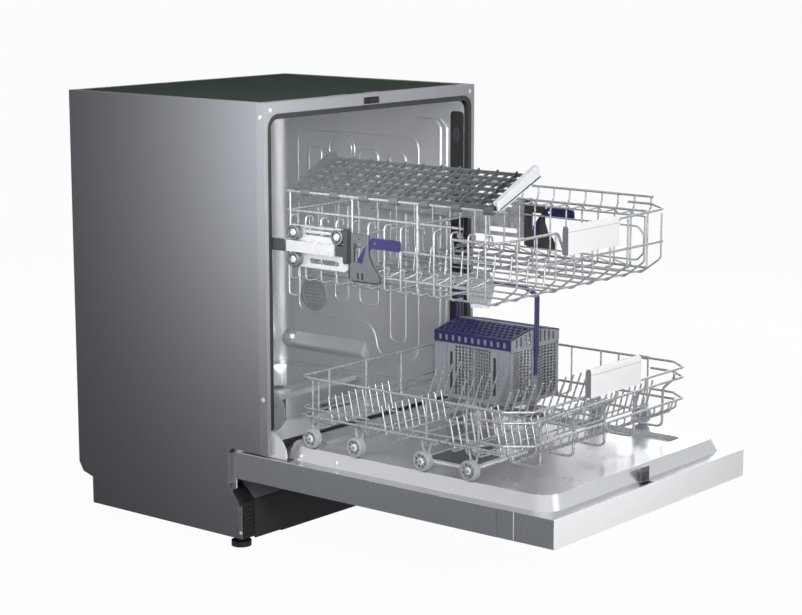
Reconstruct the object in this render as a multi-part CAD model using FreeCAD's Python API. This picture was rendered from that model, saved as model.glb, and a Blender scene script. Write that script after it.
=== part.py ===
"""Undercounter dishwasher with its door down and both racks drawn out.

The origin is on the floor under the middle of the cabinet. +X is to the right seen from the front,
the front faces -Y and +Z is up. All lengths are millimetres.
"""
import FreeCAD, Part
import math
import os

V = FreeCAD.Vector

# Cabinet
WIDTH = 598.0
HEIGHT = 815.0
DEPTH = 498.0
SHEET = 1.0
FRAME_SIDE = 8.0
FRAME_TOP = 20.0
FRAME_WING = 20.0
FRAME_BOTTOM = 190.0
PANEL_BOTTOM = 24.0
PANEL_FOLD = 11.0
REAR_NOTCH_TOP = 100.0
REAR_NOTCH_BOTTOM = 75.0
REAR_NOTCH_DEPTH = 37.0
TOE_RECESS = 99.0
TOE_FOOT_RECESS = 65.0
TOE_KNEE_TOP = 122.0
TOE_KNEE_BOTTOM = 90.0
TOP_COVER_THICK = 5.0
GASKET_WIDTH = 10.0
GASKET_DEPTH = 10.0
GASKET_END = 236.0
CLEARANCE = 0.3
TOUCH = 0.05
RUNNING = 0.05

# Tub
TUB_REAR_SPACE = 5.0
TRACK_HEIGHT = 209.0
TRACK_WIDTH = 38.0
BASIN_FLOOR = 165.0
BASIN_FRONT_SPACE = 88.0
BASIN_REAR_SPACE = 21.0
BASIN_CORNER = 22.0
TUB_CORNER = 38.0
EMBOSS_DEPTH = 2.0
EMBOSS_WIDTH = 46.0
EMBOSS_SLOTS = ((142.0, 420.0, 669.0), (75.0, 343.0, 615.0), (2.0, 348.0, 670.0), (-81.0, 275.0, 667.0))
EMBOSS_ROUND = (73.0, 665.0, 35.0)
VENT_RADIUS = 35.0
VENT_THICK = 3.5
VENT_Y = 151.0
VENT_Z = 360.0

# Base and works
BASE_FRONT_SPACE = 71.0
BASE_REAR_SPACE = 41.0
BASE_HEIGHT = 100.0
BASE_WALL = 3.0
KICK_THICK = 3.5
KICK_STAND = 2.0
KICK_TOP = 92.0
KICK_BOTTOM = 20.0
KICK_LEDGE = 4.0
CORNER_POST = 32.0
DRIP_WIDTH = 300.0
DRIP_LENGTH = 284.0
KICK_CLIP_INSET = 110.0
KICK_CLIP_WIDTH = 40.0
KICK_CLIP_LOW = 40.0
KICK_CLIP_HIGH = 70.0
FOOT_RADIUS = 18.5
FOOT_PAD = 10.0
FOOT_STEM_RADIUS = 6.0
FOOT_STEM = 68.0
FOOT_FRONT_INSET = 30.0
FOOT_SIDE_INSET = 33.0
SUMP_X = 95.0
SUMP_Y = -70.0
SUMP_RADIUS = 70.0
SUMP_DEPTH = 68.0
FILTER_RADIUS = 40.0
FILTER_HEIGHT = 70.0
FILTER_PLATE = 2.0
POST_RADIUS = 14.0
SPINDLE_RADIUS = 10.0
SPINDLE = 20.0
ARM_RADIUS = 215.0
ARM_THICK = 10.0
ARM_WIDTH = 50.0
ARM_TIP_WIDTH = 32.0
ARM_HUB_RADIUS = 24.0
SALT_INSET = 63.0
SALT_Y = 45.0
SALT_NECK_RADIUS = 35.0
SALT_CAP_HEIGHT = 14.0
SALT_BOX_WIDTH = 120.0
SALT_BOX_LENGTH = 150.0
INLET_INSET = 99.0
INLET_Z = 52.0
INLET_RADIUS = 13.2
DRAIN_INSET = 119.0
DRAIN_RADIUS = 10.5
SPOUT_OUT = 28.0
PUMP_Y = 105.0
PUMP_Z = 80.0
PUMP_START = 15.0
PUMP_LENGTH = 45.0
PUMP_RADIUS = 52.0
MOTOR_LENGTH = 85.0
MOTOR_RADIUS = 42.0
STUB_HEIGHT = 62.0
STUB_RADIUS = 14.0
DRAIN_SETBACK = 30.0
DRAIN_LENGTH = 70.0
DRAIN_BODY = 24.4
VALVE_SETBACK = 12.0
VALVE_LENGTH = 44.0
VALVE_WIDTH = 60.0
VALVE_HEIGHT = 48.0
COIL_LENGTH = 28.0
COIL_RADIUS = 16.0
PIPE_ROOM = 4.0

# Door
DOOR_SIDE_GAP = 1.0
DOOR_THICK = 49.5
DOOR_LENGTH = 698.0
DOOR_TOP = 185.0
DOOR_TAIL = 76.75
PIVOT_Z = 191.75
PIVOT_SETBACK = 4.25
PIVOT_RADIUS = 5.0
LINER_SHEET = 1.2
PAN_INSET = 23.0
PAN_TAPER = 11.0
PAN_START = 5.25
PAN_END_SPACE = 25.0
PAN_CORNER = 34.0
PAN_BORDER = 45.0
PAN_RECESS = 8.0
FASCIA = 114.0
FASCIA_WALL = 1.8
GRIP_WIDTH = 240.0
GRIP_DEPTH = 22.0
BUTTON_RADIUS = 6.7
BUTTON_INSET = 99.0
BUTTON_PROUD = 1.0
LATCH_X = -13.0
LATCH_WIDTH = 30.0
STRIKER_WIDTH = 41.0
DISPENSER_X = -100.0
DISPENSER_Y = -555.0
DISPENSER_WIDTH = 150.0
DISPENSER_LENGTH = 108.0
DISPENSER_DEPTH = 34.0
RINSE_RADIUS = 15.0
HINGE_ARM_RADIUS = 40.0
HINGE_PLATE = 3.0
HINGE_LEG = 10.0

# Upper rack, rails and carriage
RAIL_Z = 568.25
RAIL_HEIGHT = 19.5
RAIL_LENGTH = 345.0
RAIL_FRONT = -385.0
RAIL_WIDTH = 14.5
RAIL_WALL = 1.5
GUIDE_DEPTH = 6.0
GUIDE_HEIGHT = 30.0
GUIDE_LIP = 4.0
ROLLER_RADIUS = 13.5
ROLLER_WIDTH = 12.0
ROLLER_PIN = 3.0
ROLLER_REAR_Y = -288.0
ROLLER_SPACING = 100.0
CARRIAGE_THICK = 1.6
BRACKET_THICK = 6.9
BRACKET_REAR = -411.0
BRACKET_LENGTH = 67.0
BRACKET_HEIGHT = 83.0
BRACKET_TOP = 599.0
LEVER_REACH = 51.0
LEVER_THICK = 3.0
LEVER_PIN = 3.0
WIRE = 1.7
WELD = 0.4
RAIL_WIRE = 2.2
UPPER_SIDE_GAP = 2.0
UPPER_REAR = -250.0
UPPER_LENGTH = 483.0
UPPER_FLOOR = 498.7
UPPER_RIGHT_RAILS = (608.0, 635.0)
UPPER_LEFT_RAIL = 626.0
UPPER_FRONT_TOP = 612.0
UPPER_FRONT_MID = 561.0
WALL_PITCH = 46.0
FLOOR_PITCH = 40.0
SHELF_Z = 660.0
SHELF_ROD = 2.5
SHELF_WIDTH = 122.0
SHELF_LENGTH = 446.0
SHELF_THICK = 3.0
SHELF_TILT = 22.0
SHELF_CLIPS = 7
SHELF_ROWS = 4
SHELF_COLUMNS = 14
HANDLE_WIDTH = 155.0
HANDLE_HEIGHT = 50.0
HANDLE_THICK = 12.0
UPPER_HANDLE_X = -17.0
LOWER_HANDLE_X = -9.0
UPPER_ARM_RADIUS = 170.0
UPPER_ARM_TURN = 37.0
UPPER_ARM_BOTTOM = 474.0
UPPER_ARM_THICK = 10.0
MANIFOLD_WIDTH = 34.0
MANIFOLD_HEIGHT = 10.0
FEED_WIDTH = 40.0
FEED_DEPTH = 8.0

# Lower rack
LOWER_SIDE_GAP = 17.0
LOWER_REAR = -292.0
LOWER_LENGTH = 486.0
LOWER_FLOOR = 247.0
LOWER_TOP = 335.0
LOWER_SIDE_RAIL = 266.0
LOWER_FRONT_RAILS = (278.0, 317.0)
LOWER_CORNER_Y = 42.0
LOWER_CORNER_X = 31.0
WHEEL_RADIUS = 17.5
WHEEL_WIDTH = 15.0
WHEEL_PIN = 3.0
WHEEL_FIRST = 29.0
WHEEL_SECOND = 130.0
WHEEL_THIRD = 278.0
WHEEL_FOURTH = 378.0
WHEEL_INSET = 2.0
TINE = 1.6
TINE_HEIGHT = 73.0
TINE_LEAN = 26.0
TINE_PITCH = 24.0
SHORT_TINE_HEIGHT = 49.0
SHORT_TINE_LEAN = 12.0
SHORT_TINE_PITCH = 19.0
REAR_ROWS = (62.0, 184.0, 332.0, 430.0)
FRONT_ROWS = (91.0, 196.0, 318.0)
LAST_ROW = 408.0
LOOP_XS = (-186.0, -80.0, 14.0, 105.0, 200.0)
LOOP_BOTTOM = 225.0
LOOP_REACH = 86.0
BASKET_INSET = 124.0
BASKET_WIDTH = 150.0
BASKET_LENGTH = 176.0
BASKET_REAR = -338.0
BASKET_HEIGHT = 124.0
BASKET_WALL = 2.4
BASKET_SLOTS = 7
LID_RISE = 14.0
LID_THICK = 3.0
LID_SKIRT = 20.0
LID_OVERHANG = 3.0
LID_HINGE = 8.0
LID_ROLL = 2.6
LID_PIN = 1.2
LID_LUG = 6.0
BAIL_HEIGHT = 76.0
BAIL_WIDTH = 12.0
BAIL_THICK = 6.0

# Fasteners and fixing holes
SCREW_RADIUS = 4.0
SCREW_HEIGHT = 0.9
WORKTOP_HOLE = 2.5
WORKTOP_SPACING = 400.0

# Planes that several pieces share
HALF = WIDTH / 2
FRONT = -DEPTH / 2
REAR = DEPTH / 2
INNER_HALF = HALF - SHEET
SEAM_Y = FRONT + FRAME_WING
TUB_HALF = HALF - FRAME_SIDE - GASKET_WIDTH
TUB_TOP = HEIGHT - FRAME_TOP - GASKET_WIDTH
TUB_FRONT = FRONT + SHEET + GASKET_DEPTH
TUB_REAR = REAR - TUB_REAR_SPACE - SHEET
BASIN_HALF = TUB_HALF - TRACK_WIDTH
SALT_X = -BASIN_HALF + SALT_INSET
INLET_X = -HALF + INLET_INSET
DRAIN_X = HALF - DRAIN_INSET
BASIN_FRONT = TUB_FRONT + BASIN_FRONT_SPACE
BASIN_REAR = TUB_REAR - BASIN_REAR_SPACE
BASE_FRONT = FRONT + BASE_FRONT_SPACE
BASE_HALF = INNER_HALF - CLEARANCE
KICK_FACE = BASE_FRONT - TOUCH - KICK_STAND - KICK_THICK
BASE_REAR = REAR - BASE_REAR_SPACE
PIVOT_Y = FRONT + PIVOT_SETBACK
DOOR_HALF = HALF - DOOR_SIDE_GAP
DOOR_REAR = PIVOT_Y + DOOR_TAIL
DOOR_FRONT = DOOR_REAR - DOOR_LENGTH
DOOR_UNDER = DOOR_TOP - DOOR_THICK
FASCIA_Y = DOOR_FRONT + FASCIA
PAN_TOP = TRACK_HEIGHT
PAN_FLOOR = PAN_TOP - PAN_RECESS
RIM_UNDER = DOOR_TOP - SHEET
GUIDE_FACE = TUB_HALF - GUIDE_DEPTH
RAIL_OUTER = GUIDE_FACE - CLEARANCE
RAIL_INNER = RAIL_OUTER - RAIL_WIDTH
RAIL_TOP = RAIL_Z + RAIL_HEIGHT / 2
RAIL_UNDER = RAIL_Z - RAIL_HEIGHT / 2
PLATE_OUTER = RAIL_INNER - CLEARANCE
PLATE_INNER = PLATE_OUTER - CARRIAGE_THICK
BRACKET_INNER = PLATE_OUTER - BRACKET_THICK
UPPER_HALF = BRACKET_INNER - UPPER_SIDE_GAP
BRACKET_FRONT = BRACKET_REAR - BRACKET_LENGTH
BRACKET_BOTTOM = BRACKET_TOP - BRACKET_HEIGHT
UPPER_FRONT = UPPER_REAR - UPPER_LENGTH
LOWER_FRONT = LOWER_REAR - LOWER_LENGTH
LOWER_HALF = TUB_HALF - LOWER_SIDE_GAP
WHEEL_X = LOWER_HALF - WHEEL_INSET
WHEEL_YS = tuple(LOWER_REAR - step for step in (WHEEL_FIRST, WHEEL_SECOND, WHEEL_THIRD, WHEEL_FOURTH))
BASKET_X = LOWER_HALF - BASKET_INSET
WHEEL_Z = TRACK_HEIGHT + WHEEL_RADIUS + 0.5
ARM_BOTTOM = TRACK_HEIGHT + 1.5
BASKET_FRONT = BASKET_REAR - BASKET_LENGTH
MAT_RISE = 3 * WIRE - WELD
BASKET_BOTTOM = LOWER_FLOOR + MAT_RISE + TOUCH
BASKET_TOP = BASKET_BOTTOM + BASKET_HEIGHT
RIDGE = BASKET_TOP + LID_RISE


def box(x0, x1, y0, y1, z0, z1):
    """Block between two corners, given in any order."""
    low = V(min(x0, x1), min(y0, y1), min(z0, z1))
    return Part.makeBox(abs(x1 - x0), abs(y1 - y0), abs(z1 - z0), low)


def drum(start, end, radius):
    """Round bar between two points."""
    start, end = V(*start), V(*end)
    return Part.makeCylinder(radius, (end - start).Length, start, end - start)


def wire(start, end, radius):
    """Eight-sided wire between two points, drawn to the round wire's flats."""
    start, end = V(*start), V(*end)
    along = end - start
    first = along.cross(V(0, 0, 1) if abs(along.z) < 0.9 * along.Length else V(1, 0, 0)).normalize()
    second = V(along).cross(first).normalize()
    reach = radius / math.cos(math.pi / 8)
    turns = [math.pi * (2 * side + 1) / 8 for side in range(8)]
    ring = [start + first * (reach * math.cos(t)) + second * (reach * math.sin(t)) for t in turns]
    return Part.Face(Part.makePolygon(ring + ring[:1])).extrude(along)


def path(points, radius):
    """Wires that follow a line of points."""
    return [wire(a, b, radius) for a, b in zip(points, points[1:])]


def slab_xy(outline, z0, z1):
    """Plate with a plan outline of (x, y) points, between two heights."""
    points = [V(x, y, z0) for x, y in outline]
    return Part.Face(Part.makePolygon(points + points[:1])).extrude(V(0, 0, z1 - z0))


def slab_yz(outline, x0, x1):
    """Plate with a side-view outline of (y, z) points, between two X planes."""
    points = [V(x0, y, z) for y, z in outline]
    return Part.Face(Part.makePolygon(points + points[:1])).extrude(V(x1 - x0, 0, 0))


def slab_xz(outline, y0, y1):
    """Plate with a front-view outline of (x, z) points, between two Y planes."""
    points = [V(x, y0, z) for x, z in outline]
    return Part.Face(Part.makePolygon(points + points[:1])).extrude(V(0, y1 - y0, 0))


def round_rect(x0, x1, y0, y1, z, radius):
    """Closed outline of a rectangle with round corners at one height."""
    corners = ((x1 - radius, y1 - radius, 0), (x0 + radius, y1 - radius, 90),
               (x0 + radius, y0 + radius, 180), (x1 - radius, y0 + radius, 270))
    arcs = []
    for x, y, turn in corners:
        on_arc = [V(x + radius * math.cos(math.radians(turn + a)),
                    y + radius * math.sin(math.radians(turn + a)), z)
                  for a in (0, 45, 90)]
        arcs.append(Part.Arc(*on_arc).toShape())
    edges = []
    for arc, after in zip(arcs, arcs[1:] + arcs[:1]):
        edges += [arc, Part.LineSegment(arc.Vertexes[-1].Point, after.Vertexes[0].Point).toShape()]
    return Part.Wire(edges)


def round_block(x0, x1, y0, y1, z0, z1, radius):
    """Block with round upright corners."""
    return Part.Face(round_rect(x0, x1, y0, y1, z0, radius)).extrude(V(0, 0, z1 - z0))


def stadium(y, z0, z1, width, x0, x1):
    """Upright slot shape in the YZ plane, between two X planes."""
    radius = width / 2
    middle = box(x0, x1, y - radius, y + radius, z0 + radius, z1 - radius)
    ends = [drum((min(x0, x1), y, z), (max(x0, x1), y, z), radius) for z in (z0 + radius, z1 - radius)]
    return middle.fuse(ends)


def fuse(shapes):
    """One clean solid from shapes that run into each other."""
    return shapes[0].multiFuse(shapes[1:]).removeSplitter()


def mirrored(shape):
    """The same shape on the other side of the cabinet."""
    return shape.mirror(V(0, 0, 0), V(1, 0, 0))


def both_sides(shape):
    """A shape on the right and its mirror image on the left."""
    return [shape, mirrored(shape)]


def spread(first, last, pitch):
    """Even positions from first to last, about one pitch apart."""
    count = max(2, round(abs(last - first) / pitch) + 1)
    return [first + (last - first) * step / (count - 1) for step in range(count)]


def save(name, solids):
    """Write one node; a node of several solids is a group."""
    shape = solids[0] if len(solids) == 1 else Part.makeCompound(solids)
    shape.exportStep("parts/" + name + ".step")


def side_panel():
    """Right outer panel with its toe recess, rear service notch and folded edges."""
    notch = REAR - REAR_NOTCH_DEPTH
    toe, foot = FRONT + TOE_RECESS, FRONT + TOE_FOOT_RECESS
    outline = [(SEAM_Y + CLEARANCE, HEIGHT), (REAR, HEIGHT), (REAR, REAR_NOTCH_TOP),
               (REAR - REAR_NOTCH_DEPTH * 0.3, (REAR_NOTCH_TOP + REAR_NOTCH_BOTTOM) / 2 - 5),
               (notch, REAR_NOTCH_BOTTOM), (notch, PANEL_BOTTOM), (foot, PANEL_BOTTOM),
               (foot + 9, TOE_KNEE_BOTTOM), (toe, TOE_KNEE_TOP), (toe, FRAME_BOTTOM - 10),
               (toe - 10, FRAME_BOTTOM), (SEAM_Y + CLEARANCE, FRAME_BOTTOM)]
    skin = slab_yz(outline, INNER_HALF, HALF)
    top_fold = box(HALF - PANEL_FOLD, HALF, SEAM_Y + CLEARANCE, REAR, HEIGHT - SHEET, HEIGHT)
    rear_fold = box(HALF - PANEL_FOLD, HALF, REAR - SHEET, REAR, REAR_NOTCH_TOP, HEIGHT)
    toe_fold = box(HALF - PANEL_FOLD, HALF, toe, toe + SHEET, TOE_KNEE_TOP, FRAME_BOTTOM - 10)
    return fuse([skin, top_fold, rear_fold, toe_fold])


def front_frame():
    """Three folded strips round the loading opening, with the worktop fixing holes in the top one."""
    face = box(HALF - FRAME_SIDE, HALF, FRONT, FRONT + SHEET, FRAME_BOTTOM, HEIGHT - FRAME_TOP)
    wing = box(INNER_HALF, HALF, FRONT, SEAM_Y, FRAME_BOTTOM, HEIGHT - FRAME_TOP)
    upright = fuse([face, wing])
    over = fuse([box(-HALF, HALF, FRONT, FRONT + SHEET, HEIGHT - FRAME_TOP + TOUCH, HEIGHT),
                 box(-HALF, HALF, FRONT, SEAM_Y, HEIGHT - SHEET, HEIGHT)]
                + [box(side * INNER_HALF, side * HALF, FRONT, SEAM_Y, HEIGHT - FRAME_TOP + TOUCH, HEIGHT)
                   for side in (-1, 1)])
    hole_y = (FRONT + SEAM_Y) / 2
    for side in (-1, 1):
        x = side * WORKTOP_SPACING / 2
        over = over.cut(drum((x, hole_y, HEIGHT - 4), (x, hole_y, HEIGHT + 4), WORKTOP_HOLE))
    return both_sides(upright) + [over]


def gasket():
    """Rubber strip up both sides and across the top, behind the frame's face."""
    y0, y1 = FRONT + SHEET + TOUCH, TUB_FRONT - TOUCH
    x0, x1 = TUB_HALF + TOUCH, TUB_HALF + GASKET_WIDTH - TOUCH
    upright = box(x0, x1, y0, y1, GASKET_END, TUB_TOP)
    over = box(-x1, x1, y0, y1, TUB_TOP + TOUCH, TUB_TOP + GASKET_WIDTH - TOUCH)
    return both_sides(upright) + [over]


def stamping(inset, x0, x1):
    """Upright slots and one round field along the tub's side wall, drawn in by an inset."""
    shapes = [stadium(y, z0 + inset, z1 - inset, EMBOSS_WIDTH - 2 * inset, x0, x1) for y, z0, z1 in EMBOSS_SLOTS]
    y, z, radius = EMBOSS_ROUND
    return shapes + [drum((x0, y, z), (x1, y, z), radius - inset)]


def tub_wall():
    """Right tub wall, stamped inwards in upright slots."""
    wall = box(TUB_HALF, TUB_HALF + SHEET, TUB_FRONT, TUB_REAR - TUB_CORNER - TOUCH, TRACK_HEIGHT, TUB_TOP)
    wall = wall.fuse(stamping(0, TUB_HALF - EMBOSS_DEPTH, TUB_HALF + SHEET))
    return wall.cut(Part.makeCompound(stamping(SHEET, TUB_HALF - EMBOSS_DEPTH + SHEET, TUB_HALF + 2 * SHEET)))


def tub_wrap():
    """Side walls and ceiling of the tub."""
    ceiling = box(-TUB_HALF - SHEET, TUB_HALF + SHEET, TUB_FRONT, TUB_REAR, TUB_TOP + TOUCH, TUB_TOP + SHEET)
    return both_sides(tub_wall()) + [ceiling]


def basin_plan(inset):
    """Corners of the basin in plan: a rectangle with its corners cut across."""
    half, front, rear = BASIN_HALF - inset, BASIN_FRONT + inset, BASIN_REAR - inset
    cut = BASIN_CORNER - inset * (2 - math.sqrt(2))
    right = [(half - cut, front), (half, front + cut), (half, rear - cut), (half - cut, rear)]
    return right + [(-x, y) for x, y in reversed(right)]


def basin_walls():
    """Eight wall panels round the basin, each a little short of its neighbours."""
    outer, inner = basin_plan(0), basin_plan(SHEET)
    walls = []
    for k in range(len(outer)):
        after = (k + 1) % len(outer)
        run = V(outer[after][0] - outer[k][0], outer[after][1] - outer[k][1], 0)
        step = V(run).normalize() * TOUCH
        ends = [(outer[k], step), (outer[after], -step), (inner[after], -step), (inner[k], step)]
        corners = [(x + move.x, y + move.y) for (x, y), move in ends]
        walls.append(slab_xy(corners, BASIN_FLOOR - SHEET, TRACK_HEIGHT))
    return walls


def basin_bottom():
    """Flat bottom in strips, with eight-sided openings for the salt neck, the spray post and the sump."""
    low, high = BASIN_FLOOR - SHEET, BASIN_FLOOR
    whole = slab_xy(basin_plan(SHEET + TOUCH), low, high)
    holes = ((SALT_X, SALT_Y, SALT_NECK_RADIUS), (0, 0, POST_RADIUS), (SUMP_X, SUMP_Y, SUMP_RADIUS))
    plates, start = [], -BASIN_HALF
    for x, y, radius in holes:
        reach = radius + CLEARANCE
        leg = reach * (2 - math.sqrt(2))
        left, right = x - reach, x + reach
        plates += [box(start, left - TOUCH, BASIN_FRONT, BASIN_REAR, low, high),
                   box(left, right, BASIN_FRONT, y - reach - TOUCH, low, high),
                   box(left, right, y + reach + TOUCH, BASIN_REAR, low, high)]
        for edge_x, in_x in ((left, leg), (right, -leg)):
            for edge_y, in_y in ((y - reach, leg), (y + reach, -leg)):
                corner = [(edge_x, edge_y), (edge_x + in_x, edge_y), (edge_x, edge_y + in_y)]
                plates.append(slab_xy(corner, low, high))
        start = right + TOUCH
    plates.append(box(start, BASIN_HALF, BASIN_FRONT, BASIN_REAR, low, high))
    return [plate.common(whole).Solids[0] for plate in plates]


def tub_floor():
    """Wheel tracks round a basin that holds the sump, the spray post and the salt neck."""
    low, gap = TRACK_HEIGHT - SHEET, TOUCH
    half, front, rear = BASIN_HALF + gap, BASIN_FRONT - gap, BASIN_REAR + gap
    edge = TUB_HALF - gap
    side = box(half, edge, front, TUB_REAR - gap, low, TRACK_HEIGHT)
    tracks = both_sides(side) + [box(-edge, edge, TUB_FRONT, front - gap, low, TRACK_HEIGHT),
                                 box(gap - half, half - gap, rear, TUB_REAR - gap, low, TRACK_HEIGHT)]
    for y, way in ((front, 1), (rear - gap, -1)):
        reach = BASIN_CORNER - 2 * gap
        corner = [(half - gap, y), (half - gap, y + way * reach), (half - gap - reach, y)]
        tracks += both_sides(slab_xy(corner, low, TRACK_HEIGHT))
    return tracks + basin_walls() + basin_bottom()


def foot_places():
    """Two feet near the front corners and one in the middle at the back."""
    side = INNER_HALF - FOOT_SIDE_INSET
    return {"front_foot_left": (-side, BASE_FRONT + FOOT_FRONT_INSET),
            "front_foot_right": (side, BASE_FRONT + FOOT_FRONT_INSET),
            "rear_foot": (0, BASE_REAR - FOOT_FRONT_INSET)}


def knee_height(y):
    """Height of the slope that runs back from the toe plate's top edge along the panels' knee."""
    toe = FRONT + TOE_RECESS
    return KICK_TOP + (TOE_KNEE_TOP - KICK_TOP) * (y - KICK_FACE) / (toe - KICK_FACE)


def corner_post():
    """Right front corner of the base: an upright that leans back along the panel's knee."""
    rear = DOOR_REAR + HINGE_LEG - 2
    back = BASE_FRONT + BASE_WALL
    outline = [(KICK_FACE, PANEL_BOTTOM), (KICK_FACE, KICK_TOP), (rear, knee_height(rear)),
               (rear, knee_height(rear) - 4 * KICK_LEDGE), (back, KICK_TOP - 4 * KICK_LEDGE),
               (back, PANEL_BOTTOM)]
    return slab_yz(outline, BASE_HALF - CORNER_POST, BASE_HALF)


def base_tray():
    """Open plastic tray with a sunken drip pan, corner posts, bosses over the feet and rear pipe holes."""
    half, floor = BASE_HALF, PANEL_BOTTOM + BASE_WALL
    room = half - BASE_WALL
    tray = box(-half, half, BASE_FRONT, BASE_REAR, PANEL_BOTTOM, BASE_HEIGHT)
    tray = tray.cut(box(-room, room, BASE_FRONT + BASE_WALL, BASE_REAR - BASE_WALL, floor, BASE_HEIGHT + 1))
    tray = tray.cut(box(-room, room, BASE_FRONT - 1, BASE_FRONT + BASE_WALL + 1, KICK_TOP - 2 * KICK_LEDGE,
                        BASE_HEIGHT + 1))
    tray = tray.fuse(both_sides(corner_post()))
    wide, long = DRIP_WIDTH / 2, DRIP_LENGTH / 2
    tray = tray.fuse(box(-wide, wide, -long, long, 0, floor))
    wide, long = wide - BASE_WALL, long - BASE_WALL
    tray = tray.cut(box(-wide, wide, -long, long, BASE_WALL, floor + 1))
    boss_top = FOOT_PAD + FOOT_STEM
    for x, y in foot_places().values():
        tray = tray.fuse(drum((x, y, floor - BASE_WALL / 2), (x, y, boss_top), FOOT_RADIUS + BASE_WALL))
    for x, y in foot_places().values():
        tray = tray.cut(drum((x, y, 0), (x, y, boss_top + 1), FOOT_STEM_RADIUS + RUNNING))
    for x, radius in ((INLET_X, INLET_RADIUS), (DRAIN_X, DRAIN_RADIUS)):
        tray = tray.cut(drum((x, BASE_REAR - 9, INLET_Z), (x, BASE_REAR + 9, INLET_Z), radius + PIPE_ROOM))
    return [tray]


def foot(x, y):
    """Levelling foot: a pad with a screw stem."""
    return [fuse([drum((x, y, 0), (x, y, FOOT_PAD), FOOT_RADIUS),
                  drum((x, y, FOOT_PAD / 2), (x, y, FOOT_PAD + FOOT_STEM - CLEARANCE), FOOT_STEM_RADIUS)])]


def kick_plate():
    """Toe plate with a sloping ledge on top and two clips to the base."""
    half = BASE_HALF - CORNER_POST - CLEARANCE
    back = BASE_FRONT - TOUCH
    face = KICK_FACE + KICK_THICK
    toe = FRONT + TOE_RECESS
    outline = [(KICK_FACE, KICK_BOTTOM), (KICK_FACE, KICK_TOP), (toe, TOE_KNEE_TOP),
               (toe, TOE_KNEE_TOP - KICK_LEDGE), (face, knee_height(face) - KICK_LEDGE), (face, KICK_BOTTOM)]
    parts = [slab_yz(outline, -half, half)]
    clip = half - KICK_CLIP_INSET
    parts += [box(side * clip, side * (clip - KICK_CLIP_WIDTH), face - 1, back, KICK_CLIP_LOW, KICK_CLIP_HIGH)
              for side in (-1, 1)]
    return [fuse(parts)]


def sump():
    """Cup under the filter, joined by a channel to the post that carries the lower spray arm."""
    top = BASIN_FLOOR - SHEET
    low = BASIN_FLOOR - SUMP_DEPTH
    wall = BASE_WALL
    cup = drum((SUMP_X, SUMP_Y, low), (SUMP_X, SUMP_Y, BASIN_FLOOR), SUMP_RADIUS)
    channel = box(-POST_RADIUS, SUMP_X, SUMP_Y, POST_RADIUS, low, low + 30)
    post = drum((0, 0, low), (0, 0, ARM_BOTTOM - 1), POST_RADIUS)
    spindle = drum((0, 0, low), (0, 0, ARM_BOTTOM + SPINDLE), SPINDLE_RADIUS)
    flange = drum((SUMP_X, SUMP_Y, top - 4), (SUMP_X, SUMP_Y, top - TOUCH), SUMP_RADIUS + 8)
    solid = fuse([cup, channel, post, spindle, flange])
    bore = drum((SUMP_X, SUMP_Y, low + wall), (SUMP_X, SUMP_Y, BASIN_FLOOR + 1), SUMP_RADIUS - wall)
    return [solid.cut(bore)]


def flat_filter():
    """Perforated plate over the sump with a round opening for the filter cup."""
    low = BASIN_FLOOR + TOUCH
    radius = SUMP_RADIUS + 5
    plate = drum((SUMP_X, SUMP_Y, low), (SUMP_X, SUMP_Y, low + FILTER_PLATE), radius)
    ring = (FILTER_RADIUS + radius) / 2
    holes = [drum((SUMP_X, SUMP_Y, low - 2), (SUMP_X, SUMP_Y, low + 9), FILTER_RADIUS + CLEARANCE)]
    for step in range(18):
        turn = math.radians(20 * step)
        x, y = SUMP_X + ring * math.cos(turn), SUMP_Y + ring * math.sin(turn)
        holes.append(drum((x, y, low - 2), (x, y, low + 9), 5))
    return [plate.cut(Part.makeCompound(holes))]


def filter_cup():
    """Open filter cylinder with a collar and a grip across the top."""
    low = BASIN_FLOOR + 18 - FILTER_HEIGHT
    top = low + FILTER_HEIGHT
    at = (SUMP_X, SUMP_Y)
    cup = drum((*at, low), (*at, top), FILTER_RADIUS)
    cup = cup.cut(drum((*at, low + 3), (*at, top + 1), FILTER_RADIUS - 3))
    reach = FILTER_RADIUS - 1
    grip = box(SUMP_X - reach, SUMP_X + reach, SUMP_Y - 3, SUMP_Y + 3, top - 12, top - 2)
    return [fuse([cup, grip])]


def arm_blade(x, y, bottom, radius, thick):
    """Two-ended spray arm blade, widest at the middle, with a row of jets on top."""
    half, tip = ARM_WIDTH / 2, ARM_TIP_WIDTH / 2
    outline = [V(x - radius, y - tip, bottom), V(x, y - half, bottom), V(x + radius, y - tip, bottom),
               V(x + radius, y + tip, bottom), V(x, y + half, bottom), V(x - radius, y + tip, bottom)]
    blade = Part.Face(Part.makePolygon(outline + outline[:1])).extrude(V(0, 0, thick))
    jets = []
    for step in range(1, 5):
        for side in (-1, 1):
            at = x + side * radius * (0.2 + 0.18 * step)
            off, top = y + side * 6, bottom + thick
            jets.append(drum((at, off, top - 2), (at, off, top + 1), 2.5))
    return blade.cut(Part.makeCompound(jets))


def lower_spray_arm():
    """Lower spray arm on the sump's spindle."""
    hub = drum((0, 0, ARM_BOTTOM), (0, 0, ARM_BOTTOM + SPINDLE - 2), ARM_HUB_RADIUS)
    arm = fuse([arm_blade(0, 0, ARM_BOTTOM, ARM_RADIUS, ARM_THICK), hub])
    return [arm.cut(drum((0, 0, ARM_BOTTOM - 1), (0, 0, ARM_BOTTOM + SPINDLE), SPINDLE_RADIUS + RUNNING))]


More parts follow.
